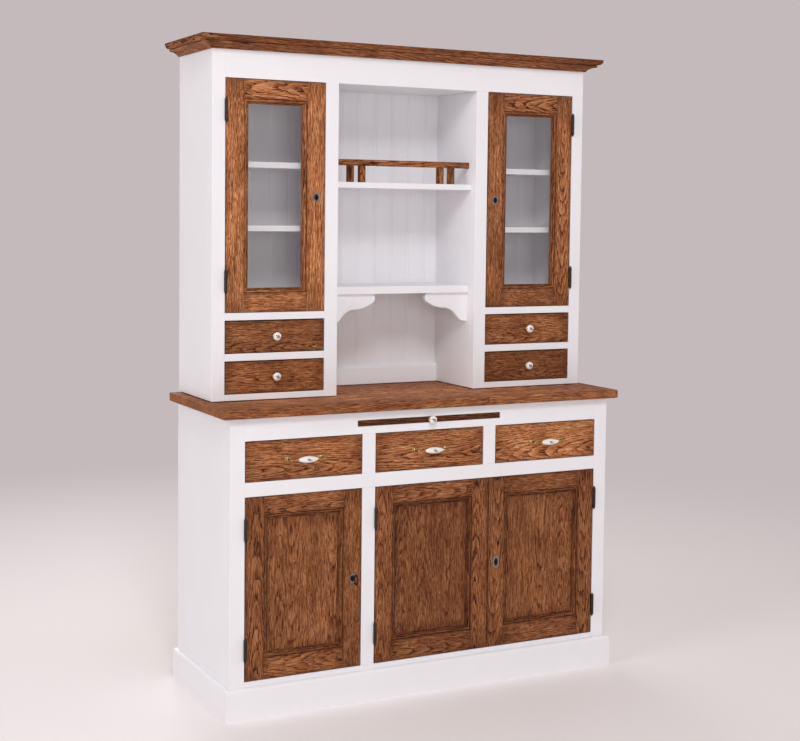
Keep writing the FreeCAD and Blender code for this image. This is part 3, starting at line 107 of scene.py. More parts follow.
def wood(name, pale, ground, pore, ring, roughness, stain_and_edge_shade, pore_depth):
    """Wood cut from a log, with growth rings round the log's heart and pores along them.

    Three attributes say how a board was cut. "grain" is its place in the log, in metres along, across
    and out from the heart. "board" is its tint, which also carries painted shade in keyholes and at the
    back of mouldings, how strong its figure is and how many ray flecks it has. "span" is its place
    between the board's ends and edges, from -1 to 1.
    """
    made, tree, shader = material(name)
    grain = add(tree, "Attribute", {}, attribute_name="grain").outputs["Vector"]
    board = add(tree, "Attribute", {}, attribute_name="board").outputs["Vector"]
    span = add(tree, "Attribute", {}, attribute_name="span").outputs["Vector"]
    tint, figure, fleck = add(tree, "SeparateXYZ", {0: board}).outputs

    # The fibres waver a little everywhere, and the rings swing along the log as its trunk did.
    place = add(tree, "Mapping", {"Vector": grain, "Scale": lumps(46, 19, 19)})
    waver = add(tree, "TexNoise", {"Vector": place, "Scale": 1.0, "Detail": 1.5}).outputs["Color"]
    fibre = add(tree, "VectorMath", {0: waver, 1: (0, 5 * MM, 5 * MM), 2: grain}, operation="MULTIPLY_ADD")
    place = add(tree, "Mapping", {"Vector": grain, "Scale": lumps(380, 80, 80)})
    swing = add(tree, "TexNoise", {"Vector": place, "Scale": 1.0, "Detail": 1.0}).outputs["Color"]
    bent = add(tree, "VectorMath", {0: swing, 1: (0, 13 * MM, 13 * MM), 2: fibre}, operation="MULTIPLY_ADD")
    rings = add(tree, "TexWave", {"Vector": bent, "Scale": math.tau / 20 / (ring * MM), "Distortion": 0.0},
                wave_type="RINGS", rings_direction="X", wave_profile="SAW").outputs["Fac"]
    late = add(tree, "Math", {0: 1.0, 1: rings}, operation="SUBTRACT")
    early = add(tree, "Math", {0: late, 1: 2.6}, operation="POWER")

    # Vessels: long pores, crowded in the wood of early summer and few in the rest.
    place = add(tree, "Mapping", {"Vector": fibre, "Scale": lumps(34, 1.9, 1.9)})
    coarse = add(tree, "TexNoise", {"Vector": place, "Scale": 1.0, "Detail": 1.5})
    coarse = add(tree, "MapRange", {"Value": coarse, "From Min": 0.42, "From Max": 0.6})
    place = add(tree, "Mapping", {"Vector": fibre, "Scale": lumps(20, 0.9, 0.9)})
    fine = add(tree, "TexNoise", {"Vector": place, "Scale": 1.0, "Detail": 1.5})
    fine = add(tree, "MapRange", {"Value": fine, "From Min": 0.45, "From Max": 0.65})
    crowded = add(tree, "MapRange", {"Value": coarse, "To Min": 0.35, "To Max": 1.3})
    crowded = add(tree, "Math", {0: crowded, 1: early}, operation="MULTIPLY")
    crowded = add(tree, "Math", {0: crowded, 1: figure}, operation="MULTIPLY")
    few = add(tree, "Math", {0: coarse, 1: fine}, operation="ADD")
    pores = add(tree, "Math", {0: few, 1: 0.28, 2: crowded}, operation="MULTIPLY_ADD", use_clamp=True)

    # Some years grew paler than others, and the stain took unevenly.
    place = add(tree, "Mapping", {"Vector": fibre, "Scale": lumps(150, 6, 6)})
    years = add(tree, "TexNoise", {"Vector": place, "Scale": 1.0, "Detail": 3.0})
    years = add(tree, "MapRange", {"Value": years, "From Min": 0.3, "From Max": 0.7})
    place = add(tree, "Mapping", {"Vector": grain, "Scale": lumps(120, 45, 45)})
    uneven = add(tree, "TexNoise", {"Vector": place, "Scale": 1.0, "Detail": 2.0})
    uneven = add(tree, "MapRange", {"Value": uneven, "From Min": 0.3, "From Max": 0.7,
                                    "To Min": 1 - 0.8 * stain_and_edge_shade, "To Max": 1 + 0.35 * stain_and_edge_shade})

    # Rays: flecks across the grain, where a board was cut along them.
    place = add(tree, "Mapping", {"Vector": grain, "Scale": lumps(8, 40, 6)})
    rays = add(tree, "TexNoise", {"Vector": place, "Scale": 1.0, "Detail": 2.0})
    rays = add(tree, "MapRange", {"Value": rays, "From Min": 0.58, "From Max": 0.7})
    rays = add(tree, "Math", {0: rays, 1: fleck}, operation="MULTIPLY")

    # Darker towards a board's ends and edges: partly gathered stain, partly painted shade beside mouldings.
    edge = add(tree, "VectorMath", {0: span}, operation="ABSOLUTE")
    along, across, _ = add(tree, "SeparateXYZ", {0: edge}).outputs
    edge = add(tree, "Math", {0: along, 1: across}, operation="MAXIMUM")
    edge = add(tree, "MapRange", {"Value": edge, "From Min": 0.72, "From Max": 1.0, "To Min": 1.0,
                                  "To Max": 1 - stain_and_edge_shade})

    colour = add(tree, "Mix", {"Factor": years, "A": linear(ground), "B": linear(pale)}, data_type="RGBA")
    colour = add(tree, "Mix", {"Factor": rays, "A": colour, "B": linear(pale)}, data_type="RGBA")
    colour = add(tree, "Mix", {"Factor": pores, "A": colour, "B": linear(pore)}, data_type="RGBA")

    # Light passes the stain twice, so where more of it lies the brown is deeper and redder.
    # The painted shade in the tint and at the edges is deepened in the same way.
    depth = add(tree, "Math", {0: tint, 1: uneven}, operation="MULTIPLY")
    depth = add(tree, "Math", {0: depth, 1: edge}, operation="MULTIPLY")
    soaked = add(tree, "Math", {0: depth, 1: -0.2}, operation="POWER")
    density = add(tree, "Math", {0: pores, 1: pore_depth, 2: 1.0}, operation="MULTIPLY_ADD")
    density = add(tree, "Math", {0: density, 1: soaked}, operation="MULTIPLY")
    colour = add(tree, "Gamma", {"Color": colour, "Gamma": density})
    colour = add(tree, "VectorMath", {0: colour, "Scale": depth}, operation="SCALE")
    relief = add(tree, "Bump", {"Height": pores, "Strength": 0.4, "Distance": 0.4 * MM}, invert=True)
    gloss = add(tree, "MapRange", {"Value": pores, "To Min": roughness, "To Max": roughness + 0.25})
    add(tree, shader, {"Base Color": colour, "Normal": relief, "Roughness": gloss,
                       "Specular IOR Level": 0.2})
    return made


# Oak, sawn and brushed so that its open pores stand out, stained brown and lacquered satin. The stain
# lies dark in the pores of each year's first wood. The pores are drawn about 2 mm wide, because real ones
# of 0.3 mm would be too fine to show.
stained_oak = wood("stained_oak", "#D1986C", "#A46237", "#653A17", ring=4.4, roughness=0.58,
                   stain_and_edge_shade=0.28, pore_depth=0.67)

# Spruce, planed and left bare, as drawer boxes and back boards are: pale, with soft yellow rings.
bare_spruce = wood("bare_spruce", "#E6D2B1", "#DBC29B", "#CDAC80", ring=3.2, roughness=0.62,
                   stain_and_edge_shade=0.04, pore_depth=0.1)


def satin_paint():
    """Satin paint on an alkyd base, brushed over wood: close and smooth, the grain just telling through."""
    made, tree, shader = material("white_satin_paint")
    grain = add(tree, "Attribute", {}, attribute_name="grain").outputs["Vector"]
    board = add(tree, "Attribute", {}, attribute_name="board").outputs["Vector"]
    tint = add(tree, "SeparateXYZ", {0: board}).outputs["X"]
    place = add(tree, "Mapping", {"Vector": grain, "Scale": lumps(120, 1.8, 1.8)})
    brushed = add(tree, "TexNoise", {"Vector": place, "Scale": 1.0, "Detail": 2.0})
    place = add(tree, "Mapping", {"Vector": grain, "Scale": lumps(260, 90, 90)})
    cloudy = add(tree, "TexNoise", {"Vector": place, "Scale": 1.0, "Detail": 3.0})
    shade = add(tree, "MapRange", {"Value": cloudy, "From Min": 0.3, "From Max": 0.7, "To Min": 0.975})
    shade = add(tree, "Math", {0: shade, 1: tint}, operation="MULTIPLY")
    colour = add(tree, "VectorMath", {0: linear("#F1EFF2")[:3], "Scale": shade}, operation="SCALE")
    relief = add(tree, "Bump", {"Height": brushed, "Strength": 0.12, "Distance": 0.15 * MM})
    gloss = add(tree, "MapRange", {"Value": cloudy, "From Min": 0.3, "From Max": 0.7, "To Min": 0.34,
                                   "To Max": 0.44})
    add(tree, shader, {"Base Color": colour, "Normal": relief, "Roughness": gloss})
    return made


white_paint = satin_paint()


def metal(name, bright, dull, roughness, lump, dent):
    """Bare or blackened metal that is duller in patches, with dents as its surface was made."""
    made, tree, shader = material(name)
    place = add(tree, "TexCoord", {}).outputs["Object"]
    place = add(tree, "Mapping", {"Vector": place, "Scale": lumps(lump, lump, lump)})
    patches = add(tree, "TexNoise", {"Vector": place, "Scale": 1.0, "Detail": 3.0})
    patches = add(tree, "MapRange", {"Value": patches, "From Min": 0.25, "From Max": 0.75})
    colour = add(tree, "Mix", {"Factor": patches, "A": linear(dull), "B": linear(bright)}, data_type="RGBA")
    relief = add(tree, "Bump", {"Height": patches, "Strength": 0.5, "Distance": dent * MM})
    gloss = add(tree, "MapRange", {"Value": patches, "To Min": roughness + 0.15, "To Max": roughness})
    add(tree, shader, {"Base Color": colour, "Metallic": 1.0, "Roughness": gloss, "Normal": relief})
    return made


# Brass, cast and polished, gone a little brown where hands don't reach.
brass = metal("polished_brass", "#D2AC78", "#8E683C", roughness=0.27, lump=4, dent=0.05)
# Iron, forged and blackened with oil: near black, with a dull hammered skin.
iron = metal("blackened_iron", "#564C47", "#2A2422", roughness=0.48, lump=3, dent=0.25)
# Mild steel, drawn and gone grey.
steel = metal("drawn_steel", "#8C8984", "#5E5A55", roughness=0.4, lump=6, dent=0.05)


def cast_pewter():
    """Pewter, cast and darkened, with beads worn bright and lit as a painted highlight.

    The field round the keyhole is kept dark as painted shade.
    """
    made, tree, shader = material("cast_pewter")
    face = add(tree, "Attribute", {}, attribute_name="face").outputs["Vector"]
    reach = add(tree, "VectorMath", {0: face}, operation="LENGTH")
    # Painted shade round the keyhole, and bright beads that are worn and also painted as highlight.
    rubbed_and_lit = add(tree, "MapRange", {"Value": reach, "From Min": 0.45, "From Max": 0.85})
    place = add(tree, "TexCoord", {}).outputs["Object"]
    place = add(tree, "Mapping", {"Vector": place, "Scale": lumps(2, 2, 2)})
    patches = add(tree, "TexNoise", {"Vector": place, "Scale": 1.0, "Detail": 3.0})
    rubbed_and_lit = add(tree, "Math", {0: rubbed_and_lit, 1: patches}, operation="MULTIPLY")
    rubbed_and_lit = add(tree, "MapRange", {"Value": rubbed_and_lit, "From Min": 0.05, "From Max": 0.5})
    colour = add(tree, "Mix", {"Factor": rubbed_and_lit, "A": linear("#352E2B"), "B": linear("#A39A97")},
                 data_type="RGBA")
    relief = add(tree, "Bump", {"Height": patches, "Strength": 0.5, "Distance": 0.12 * MM})
    gloss = add(tree, "MapRange", {"Value": rubbed_and_lit, "To Min": 0.5, "To Max": 0.32})
    add(tree, shader, {"Base Color": colour, "Metallic": 1.0, "Roughness": gloss, "Normal": relief})
    return made


pewter = cast_pewter()

PETALS = 5


def porcelain():
    """Porcelain, cast and glazed: smooth and white under a clear glaze, with a small painted sprig.

    The "face" attribute is a point's place on the front of its piece, in the piece's own radii.
    """
    made, tree, shader = material("glazed_porcelain")
    face = add(tree, "Attribute", {}, attribute_name="face").outputs["Vector"]
    across, up, _ = add(tree, "SeparateXYZ", {0: face}).outputs
    reach = add(tree, "VectorMath", {0: face}, operation="LENGTH")
    turn = add(tree, "Math", {0: up, 1: across}, operation="ARCTAN2")
    turn = add(tree, "Math", {0: turn, 1: PETALS}, operation="MULTIPLY")
    waves = add(tree, "Math", {0: turn}, operation="COSINE")
    rim = add(tree, "Math", {0: waves, 1: 0.13, 2: 0.4}, operation="MULTIPLY_ADD")
    inside = add(tree, "Math", {0: rim, 1: reach}, operation="SUBTRACT")
    petals = add(tree, "MapRange", {"Value": inside, "From Min": 0.0, "From Max": 0.08})
    heart = add(tree, "MapRange", {"Value": reach, "From Min": 0.13, "From Max": 0.08})

    # A stalk curls out to each side of the flower, and carries leaves.
    curl = add(tree, "Math", {0: across, 1: 2.6}, operation="MULTIPLY")
    curl = add(tree, "Math", {0: curl}, operation="SINE")
    off_stalk = add(tree, "Math", {0: curl, 1: 0.24, 2: up}, operation="MULTIPLY_ADD")
    off_stalk = add(tree, "Math", {0: off_stalk}, operation="ABSOLUTE")
    leaf = add(tree, "Math", {0: across, 1: 11.0}, operation="MULTIPLY")
    leaf = add(tree, "Math", {0: leaf}, operation="SINE")
    leaf = add(tree, "Math", {0: leaf, 1: 0.12, 2: 0.13}, operation="MULTIPLY_ADD")
    in_leaf = add(tree, "Math", {0: leaf, 1: off_stalk}, operation="SUBTRACT")
    stalk = add(tree, "MapRange", {"Value": in_leaf, "From Min": 0.0, "From Max": 0.05})
    end = add(tree, "MapRange", {"Value": reach, "From Min": 1.0, "From Max": 0.88})
    stalk = add(tree, "Math", {0: stalk, 1: end}, operation="MULTIPLY")

    place = add(tree, "TexCoord", {}).outputs["Object"]
    place = add(tree, "Mapping", {"Vector": place, "Scale": lumps(9, 9, 9)})
    cloud = add(tree, "TexNoise", {"Vector": place, "Scale": 1.0, "Detail": 2.0})
    colour = add(tree, "Mix", {"Factor": cloud, "A": linear("#F3EEE9"), "B": linear("#EAE3DD")},
                 data_type="RGBA")
    for share, paint in ((stalk, "#737C7A"), (petals, "#615B7C"), (heart, "#C9B27A")):
        colour = add(tree, "Mix", {"Factor": share, "A": colour, "B": linear(paint)}, data_type="RGBA")
    gloss = add(tree, "MapRange", {"Value": petals, "To Min": 0.14, "To Max": 0.2})
    add(tree, shader, {"Base Color": colour, "Roughness": gloss, "IOR": 1.52, "Coat Weight": 0.6,
                       "Coat Roughness": 0.05})
    return made


glazed_porcelain = porcelain()


def window_glass():
    """Float glass: clear, with a sharp reflection on a surface that is very nearly flat.

    The reflection rises from 4 percent as the glass turns edge-on. It is worked out from the angle, the
    same on both faces, because a Fresnel node would mirror everything on the way out of the pane.
    """
    made, tree, shader = material("float_glass")
    place = add(tree, "TexCoord", {}).outputs["Object"]
    place = add(tree, "Mapping", {"Vector": place, "Scale": lumps(160, 160, 160)})
    ripple = add(tree, "TexNoise", {"Vector": place, "Scale": 1.0, "Detail": 1.0})
    ripple = add(tree, "Bump", {"Height": ripple, "Strength": 0.1, "Distance": 0.3 * MM})
    clear = add(tree, "BsdfTransparent", {"Color": linear("#FEFEFE")})
    shine = add(tree, "BsdfGlossy", {"Color": linear("#FFFFFF"), "Roughness": 0.02, "Normal": ripple})
    turned_away = add(tree, "LayerWeight", {"Blend": 0.5, "Normal": ripple}).outputs["Facing"]
    edge_on = add(tree, "Math", {0: turned_away, 1: 5.0}, operation="POWER")
    edge_on = add(tree, "MapRange", {"Value": edge_on, "To Min": 0.04})
    both = add(tree, "MixShader", {0: edge_on, 1: clear, 2: shine})
    add(tree, tree.nodes["Material Output"], {"Surface": both})
    tree.nodes.remove(shader)
    return made


glass = window_glass()


# ---------------------------------------------------------------- boards

MERGE = 0.002 * MM
FLAT = math.radians(1)
SHARP = math.radians(32)
SMOOTH_BELOW = math.radians(20)
SHORTEST_ARRIS = 4


def solids_of(node):
    """The solids of a CAD node in their own order. One ends where its surface has closed."""
    mesh = frame["nodes"][node].data
    places = [tuple(round(number, 5) for number in vertex.co) for vertex in mesh.vertices]
    spans, open_edges, start = [], set(), 0
    for polygon in mesh.polygons:
        loop = [places[index] for index in polygon.vertices]
        open_edges ^= {frozenset(edge) for edge in zip(loop, loop[1:] + loop[:1])}
        if not open_edges:
            spans.append((start, polygon.index + 1))
            start = polygon.index + 1
    if start < len(mesh.polygons):
        spans.append((start, len(mesh.polygons)))
    solids = []
    for start, end in spans:
        shape = bmesh.new()
        shape.from_mesh(mesh)
        shape.faces.ensure_lookup_table()
        bmesh.ops.delete(shape, geom=shape.faces[:start] + shape.faces[end:], context="FACES")
        bmesh.ops.remove_doubles(shape, verts=shape.verts, dist=MERGE)
        solids.append(shape)
    return solids


def corners(shape):
    """The lowest and highest corner of a shape."""
    places = [vertex.co for vertex in shape.verts]
    return (Vector([min(place[axis] for place in places) for axis in (X, Y, Z)]),
            Vector([max(place[axis] for place in places) for axis in (X, Y, Z)]))


def ease(shape, radius):
    """Takes the sharpness off a board's edges, as sandpaper does. Very short edges are left as they are."""
    bmesh.ops.dissolve_limit(shape, angle_limit=FLAT, verts=shape.verts, edges=shape.edges)
    arrises = [edge for edge in shape.edges if edge.is_manifold and edge.calc_face_angle() > SHARP
               and edge.calc_length() > SHORTEST_ARRIS * radius]
    bmesh.ops.bevel(shape, geom=arrises, offset=radius, offset_type="OFFSET", affect="EDGES", segments=2,
                    profile=0.5, material=-1, clamp_overlap=True)


def cut_across(shape, axis, places):
    """Saws a board at some places along one of its axes."""
    normal = Vector([float(axis == other) for other in (X, Y, Z)])
    cuts = []
    for start, end in zip([None, *places], [*places, None]):
        length = shape.copy()
        for place, side in ((start, -1), (end, 1)):
            if place is not None:
                geometry = length.verts[:] + length.edges[:] + length.faces[:]
                bmesh.ops.bisect_plane(length, geom=geometry, plane_co=normal * place, plane_no=normal * side,
                                       clear_outer=True)
                rims = [edge for edge in length.edges if edge.is_boundary]
                bmesh.ops.contextual_create(length, geom=rims)
        cuts.append(length)
    shape.free()
    return cuts


def staves(shape, along, across, count, joints, chance):
    """The narrow lengths that a wide board is glued up from."""
    low, high = corners(shape)
    width, length = (high - low)[across] / count, (high - low)[along]
    lengths = []
    for stave in cut_across(shape, across, [low[across] + width * number for number in range(1, count)]):
        places = [low[along] + length * (number + chance.uniform(0.1, 0.9)) / joints
                  for number in range(joints)]
        lengths += cut_across(stave, along, places)
    return lengths


LOG_LENGTH = 18
TAPER = (0.045, 0.09)
TWIST = 0.02
FLECKS = (0, 0, 0.5)


def lay_grain(shape, chance, tone, run=None, mitred=False, quarter=0.35, panel=None, variety=0.08,
              bold=1.0):
    """Places a board in a log of its own, and says how it was cut.

    The grain runs along the longest side, or along the axis that is given, or along each length of a
    mitred frame. "quarter" is the chance of a board from beside the heart, which shows lines. The others
    are cut over the heart, and show arches that the log's taper closes.
    """
    low, high = corners(shape)
    size, middle = high - low, (low + high) / 2
    around, reach = panel or (middle, size / 2)
    axes = sorted((X, Y, Z), key=lambda axis: -size[axis])
    if run is not None:
        axes.remove(run)
        axes.insert(0, run)
    width = size[axes[1]]
    beside_heart = chance.random() < quarter
    place_in_log = chance.uniform(-LOG_LENGTH / 2, LOG_LENGTH / 2)
    if beside_heart:
        heart = Vector((place_in_log, width / 2 + chance.uniform(0.03, 0.09), chance.uniform(-0.01, 0.01)))
    else:
        heart = Vector((place_in_log, width * chance.uniform(-0.3, 0.3), chance.uniform(0.02, 0.055)))
    lean = Matrix.Rotation(chance.choice((-1, 1)) * chance.uniform(*TAPER), 3, "Y")
    lean @= Matrix.Rotation(chance.uniform(-TWIST, TWIST), 3, "Z")
    board = Vector((tone * chance.uniform(1 - variety, 1 + variety), bold * chance.uniform(0.75, 1.0),
                    chance.choice(FLECKS)))
    layers = [shape.loops.layers.float_vector.new(name) for name in ("grain", "board", "span")]
    for face in shape.faces:
        along, across, depth = axes
        if mitred:
            place = face.calc_center_median() - middle
            upright = size.x / 2 - abs(place.x) < size.z / 2 - abs(place.z)
            along, across, depth = (Z, X, Y) if upright else (X, Z, Y)
        for loop in face.loops:
            place = loop.vert.co - middle
            grain = lean @ Vector((place[along], place[across], place[depth])) + heart
            share = [(loop.vert.co[axis] - around[axis]) / reach[axis] for axis in (along, across)]
            for layer, value in zip(layers, (grain, board, Vector((*share, 0)))):
                loop[layer] = value


def finished(name, shapes, finishes, node):
    """A piece made of one or more shapes, which stands for a CAD node and rides where it does."""
    whole = bmesh.new()
    for shape, number in shapes:
        for face in shape.faces:
            face.smooth = True
            face.material_index = number
        part = bpy.data.meshes.new("part")
        shape.to_mesh(part)
        shape.free()
        whole.from_mesh(part)
        bpy.data.meshes.remove(part)
    mesh = bpy.data.meshes.new(name)
    whole.to_mesh(mesh)
    whole.free()
    mesh.set_sharp_from_angle(angle=SMOOTH_BELOW)
    for finish in finishes:
        mesh.materials.append(finish)
    piece = bpy.data.objects.new(name, mesh)
    bpy.context.scene.collection.objects.link(piece)
    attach(piece, body_of[node])
    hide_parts(node)


def boards(node, finish, radius, tone=1.0, variety=0.08):
    """The boards of a CAD node, eased, each with its own grain."""
    shapes = []
    for number, shape in enumerate(solids_of(node)):
        ease(shape, radius * MM)
        lay_grain(shape, random.Random(f"{node} {number}"), tone, variety=variety)
        shapes.append((shape, 0))
    finished(f"{node}_boards", shapes, [finish], node)


# ---------------------------------------------------------------- the painted case

for node in ("base_sides", "base_face_frame", "plinth", "hutch_uprights", "hutch_top_boards", "tower_floors",
             "tower_shelves", "back_rail", "hutch_face_frame", "plate_shelf", "niche_shelf", "shelf_brackets",
             "base_shelves"):
    boards(node, white_paint, 1.2, tone=0.99, variety=0.008)
boards("hutch_back_boards", white_paint, 0.3, tone=0.99, variety=0.006)
for node in ("base_partitions", "base_back_boards", "drawer_guides"):
    boards(node, bare_spruce, 0.8)


# ---------------------------------------------------------------- oak

def glued_up(node, along, across, count, joints, radius, tone, variety, bold):
    """A wide oak board, glued up from staves."""
    chance = random.Random(node)
    shape = solids_of(node)[0]
    low, high = corners(shape)
    ease(shape, radius * MM)
    shapes = []
    for stave in staves(shape, along, across, count, joints, chance):
        lay_grain(stave, chance, tone, run=along, quarter=0.25, panel=((low + high) / 2, (high - low) / 2),
                  variety=variety, bold=bold)
        shapes.append((stave, 0))
    finished(f"{node}_staves", shapes, [stained_oak], node)


QUIRK, QUIRK_FLOOR = 1.0, 7.0
BEAD_RADIUS = 3.5
HOLLOW, HOLLOW_TOP = 4.6, 5.6
FILLET, FILLET_HEIGHT = 3.4, 2.6
# The moulding's tint at its front and at its back; the darker back is partly stain, partly painted shade of
# the recess.
MOULDING_FRONT_TINT, MOULDING_BACK_STAIN_AND_SHADE = 1.06, 0.6


def moulding_profile():
    """In from the frame and up from the panel, in millimetres: a quirk, a bead, a hollow and a fillet."""
    points = [(0, 0), (0, QUIRK_FLOOR)]
    points += [(QUIRK + BEAD_RADIUS * (1 - math.cos(turn)), QUIRK_FLOOR + BEAD_RADIUS * math.sin(turn))
               for turn in [math.pi * step / 10 for step in range(11)]]
    inward = QUIRK + 2 * BEAD_RADIUS
    drop = HOLLOW_TOP - FILLET_HEIGHT
    points += [(inward + HOLLOW * (1 - math.cos(turn)), HOLLOW_TOP - drop * math.sin(turn))
               for turn in [math.pi / 2 * step / 6 for step in range(7)]]
    inward += HOLLOW
    return points + [(inward + FILLET, FILLET_HEIGHT), (inward + FILLET, 0)]


def mitred_round(low, high, back):
    """A moulding mitred round inside an opening, with its back at a depth."""
    ring = bmesh.new()
    rim = [ring.verts.new((x, back, z))
           for x, z in ((low.x, low.z), (high.x, low.z), (high.x, high.z), (low.x, high.z))]
    middle = ring.faces.new(rim)
    ring.normal_update()
    profile = moulding_profile()
    for (inward, height), (next_inward, next_height) in zip(profile, profile[1:]):
        bmesh.ops.inset_region(ring, faces=[middle], thickness=(next_inward - inward) * MM,
                               depth=(next_height - height) * MM, use_boundary=True, use_even_offset=True)
    bmesh.ops.delete(ring, geom=[middle], context="FACES")
    bmesh.ops.bridge_loops(ring, edges=[edge for edge in ring.edges if edge.is_boundary])
    bmesh.ops.recalc_face_normals(ring, faces=ring.faces)
    return ring


# How far round a keyhole the wood inside it is darkened, and to what tint, as painted shade.
KEYHOLE_REACH = 16
KEYHOLE_SHADE = 0.3


def shade_keyhole_wood(timber, door):
    """Darkens the wood inside a keyhole, as painted shade for the deep hole."""
    plate = solids_of(f"{door}_fittings")[-1]
    low, high = corners(plate)
    plate.free()
    middle = (low + high) / 2
    board = timber.loops.layers.float_vector["board"]
    for face in timber.faces:
        place = face.calc_center_median() - middle
        if math.hypot(place.x, place.z) < KEYHOLE_REACH * MM and abs(face.normal.y) < 0.5:
            for loop in face.loops:
                loop[board] = Vector((KEYHOLE_SHADE, *loop[board].yz))


def door_frame(door, tone, bold):
    """Stiles, rails and the moulding mitred inside them, its back stained deeper and in painted shade."""
    *timbers, opening = solids_of(f"{door}_frame")
    low, high = corners(opening)
    opening.free()
    shapes = []
    for number, timber in enumerate(timbers):
        ease(timber, 1.0 * MM)
        lay_grain(timber, random.Random(f"{door} timber {number}"), tone, quarter=0.4, bold=bold)
        # Painted shade inside the keyhole.
        if door != "middle_door":
            shade_keyhole_wood(timber, door)
        shapes.append((timber, 0))
    moulding = mitred_round(low, high, high.y)
    lay_grain(moulding, random.Random(f"{door} moulding"), tone, mitred=True)
    # Towards its back the moulding is toned darker, as stain and as painted shade of the recess.
    board = moulding.loops.layers.float_vector["board"]
    for face in moulding.faces:
        for loop in face.loops:
            depth = (loop.vert.co.y - low.y) / (high.y - low.y)
            tint = MOULDING_FRONT_TINT + (MOULDING_BACK_STAIN_AND_SHADE - MOULDING_FRONT_TINT) * depth
            loop[board] = Vector((loop[board].x * tint, *loop[board].yz))
    finished(f"{door}_joinery", shapes + [(moulding, 0)], [stained_oak], f"{door}_frame")


def drawer_box(node, tone, bold):
    """An oak front on a box of bare boards."""
    front, *box = solids_of(node)
    ease(front, 1.5 * MM)
    lay_grain(front, random.Random(f"{node} front"), tone, run=X, quarter=0.15, bold=bold)
    shapes = [(front, 0)]
    for number, board in enumerate(box):
        ease(board, 0.8 * MM)
        lay_grain(board, random.Random(f"{node} box {number}"), 1.0)
        shapes.append((board, 1))
    finished(f"{node}_boards", shapes, [stained_oak, bare_spruce], node)


glued_up("worktop", X, Y, count=6, joints=2, radius=1.5, tone=1.3, variety=0.12, bold=0.8)
boards("crown_moulding", stained_oak, 0.6, tone=1.03)
boards("plate_rail", stained_oak, 1.2, tone=0.95)
boards("pull_out_board", stained_oak, 1.2, tone=0.55)
# The pads are stained nearly black, partly as painted shade for the gap under the hutch.
boards("hutch_pads", stained_oak, 0.8, tone=0.4)
for door, frame_tone, panel_tone in (("left_door", 0.9, 0.8), ("middle_door", 0.77, 0.68),
                                     ("right_door", 0.85, 0.795)):
    door_frame(door, frame_tone, bold=0.75)
    glued_up(f"{door}_panel", Z, X, count=3, joints=0, radius=0.5, tone=panel_tone, variety=0.06, bold=0.55)
# The glazed doors are toned lighter: partly their own tone, partly painted light, as they stand better lit.
door_frame("left_glass_door", 1.38, bold=1.2)
door_frame("right_glass_door", 1.0, bold=1.0)
for node, tone in zip(DRAWERS, (1.06, 1.19, 1.32)):
    drawer_box(node, tone, bold=0.9)
for node, tone in zip(SMALL_DRAWERS, (0.99, 0.9, 0.78, 0.85)):
    drawer_box(node, tone, bold=0.6)


# ---------------------------------------------------------------- ironmongery and porcelain

TURNED_STEPS = 40
FORWARD = Vector((0, -1, 0))


def turned(shape, profile, foot, along):
    """Turns a profile of (radius, distance) pairs in millimetres about an axis that starts at its foot."""
    along = Vector(along)
    out = along.orthogonal().normalized()
    points = [shape.verts.new(foot + along * (distance * MM) + out * (radius * MM))
              for radius, distance in profile]
    edges = [shape.edges.new(pair) for pair in zip(points, points[1:])]
    before = set(shape.faces)
    bmesh.ops.spin(shape, geom=points + edges, cent=foot, axis=along, angle=math.tau,
                   steps=TURNED_STEPS, use_merge=True, use_duplicate=False)
    faces = [face for face in shape.faces if face not in before]
    own = {vertex for face in faces for vertex in face.verts}
    bmesh.ops.remove_doubles(shape, verts=list(own), dist=MERGE)
    bmesh.ops.recalc_face_normals(shape, faces=[face for face in shape.faces if face not in before])


def mark_face(shape, middle, wide, tall):
    """Says where each point is on the front of a piece, in the piece's own radii."""
    layer = shape.loops.layers.float_vector.new("face")
    for face in shape.faces:
        for loop in face.loops:
            place = loop.vert.co - middle
            loop[layer] = Vector((place.x / wide, place.z / tall, 0))


KNOB_COLLAR = [(0, 0), (9, 0), (9, 1), (8.2, 2), (6.4, 2.6), (5.6, 4), (0, 4)]
KNOB_NECK = [(0, 3), (5.6, 3), (5.4, 6), (6.0, 9), (8.6, 12)]
KNOB_DOME = 0.72


def knob(node):
    """A porcelain knob on a turned brass collar. Its dome is flatter than a ball."""
    low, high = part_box(node)
    middle = (low + high) / 2
    foot = Vector((middle.x, high.y, middle.z))
    radius, reach = (high.x - low.x) / 2 / MM, (high.y - low.y) / MM
    collar = bmesh.new()
    turned(collar, KNOB_COLLAR, foot, FORWARD)
    head = bmesh.new()
    dome = radius * KNOB_DOME
    profile = KNOB_NECK + [(radius * math.cos(angle), reach - dome + dome * math.sin(angle))
                           for angle in [math.radians(step) for step in range(-36, 90, 9)]]
    profile.append((0, reach))
    turned(head, profile, foot, FORWARD)
    mark_face(head, middle, radius * MM, radius * MM)
    finished(f"{node}_turning", [(collar, 1), (head, 0)], [glazed_porcelain, brass], node)


FOOT_RADIUS = 11.5
POST_RADIUS = 3.2
BALL_RADIUS = 4.6
GRIP_LENGTH = 64
GRIP_RADIUS = 10.5
GRIP_END_RADIUS = 3.8
GRIP_STEPS = 20


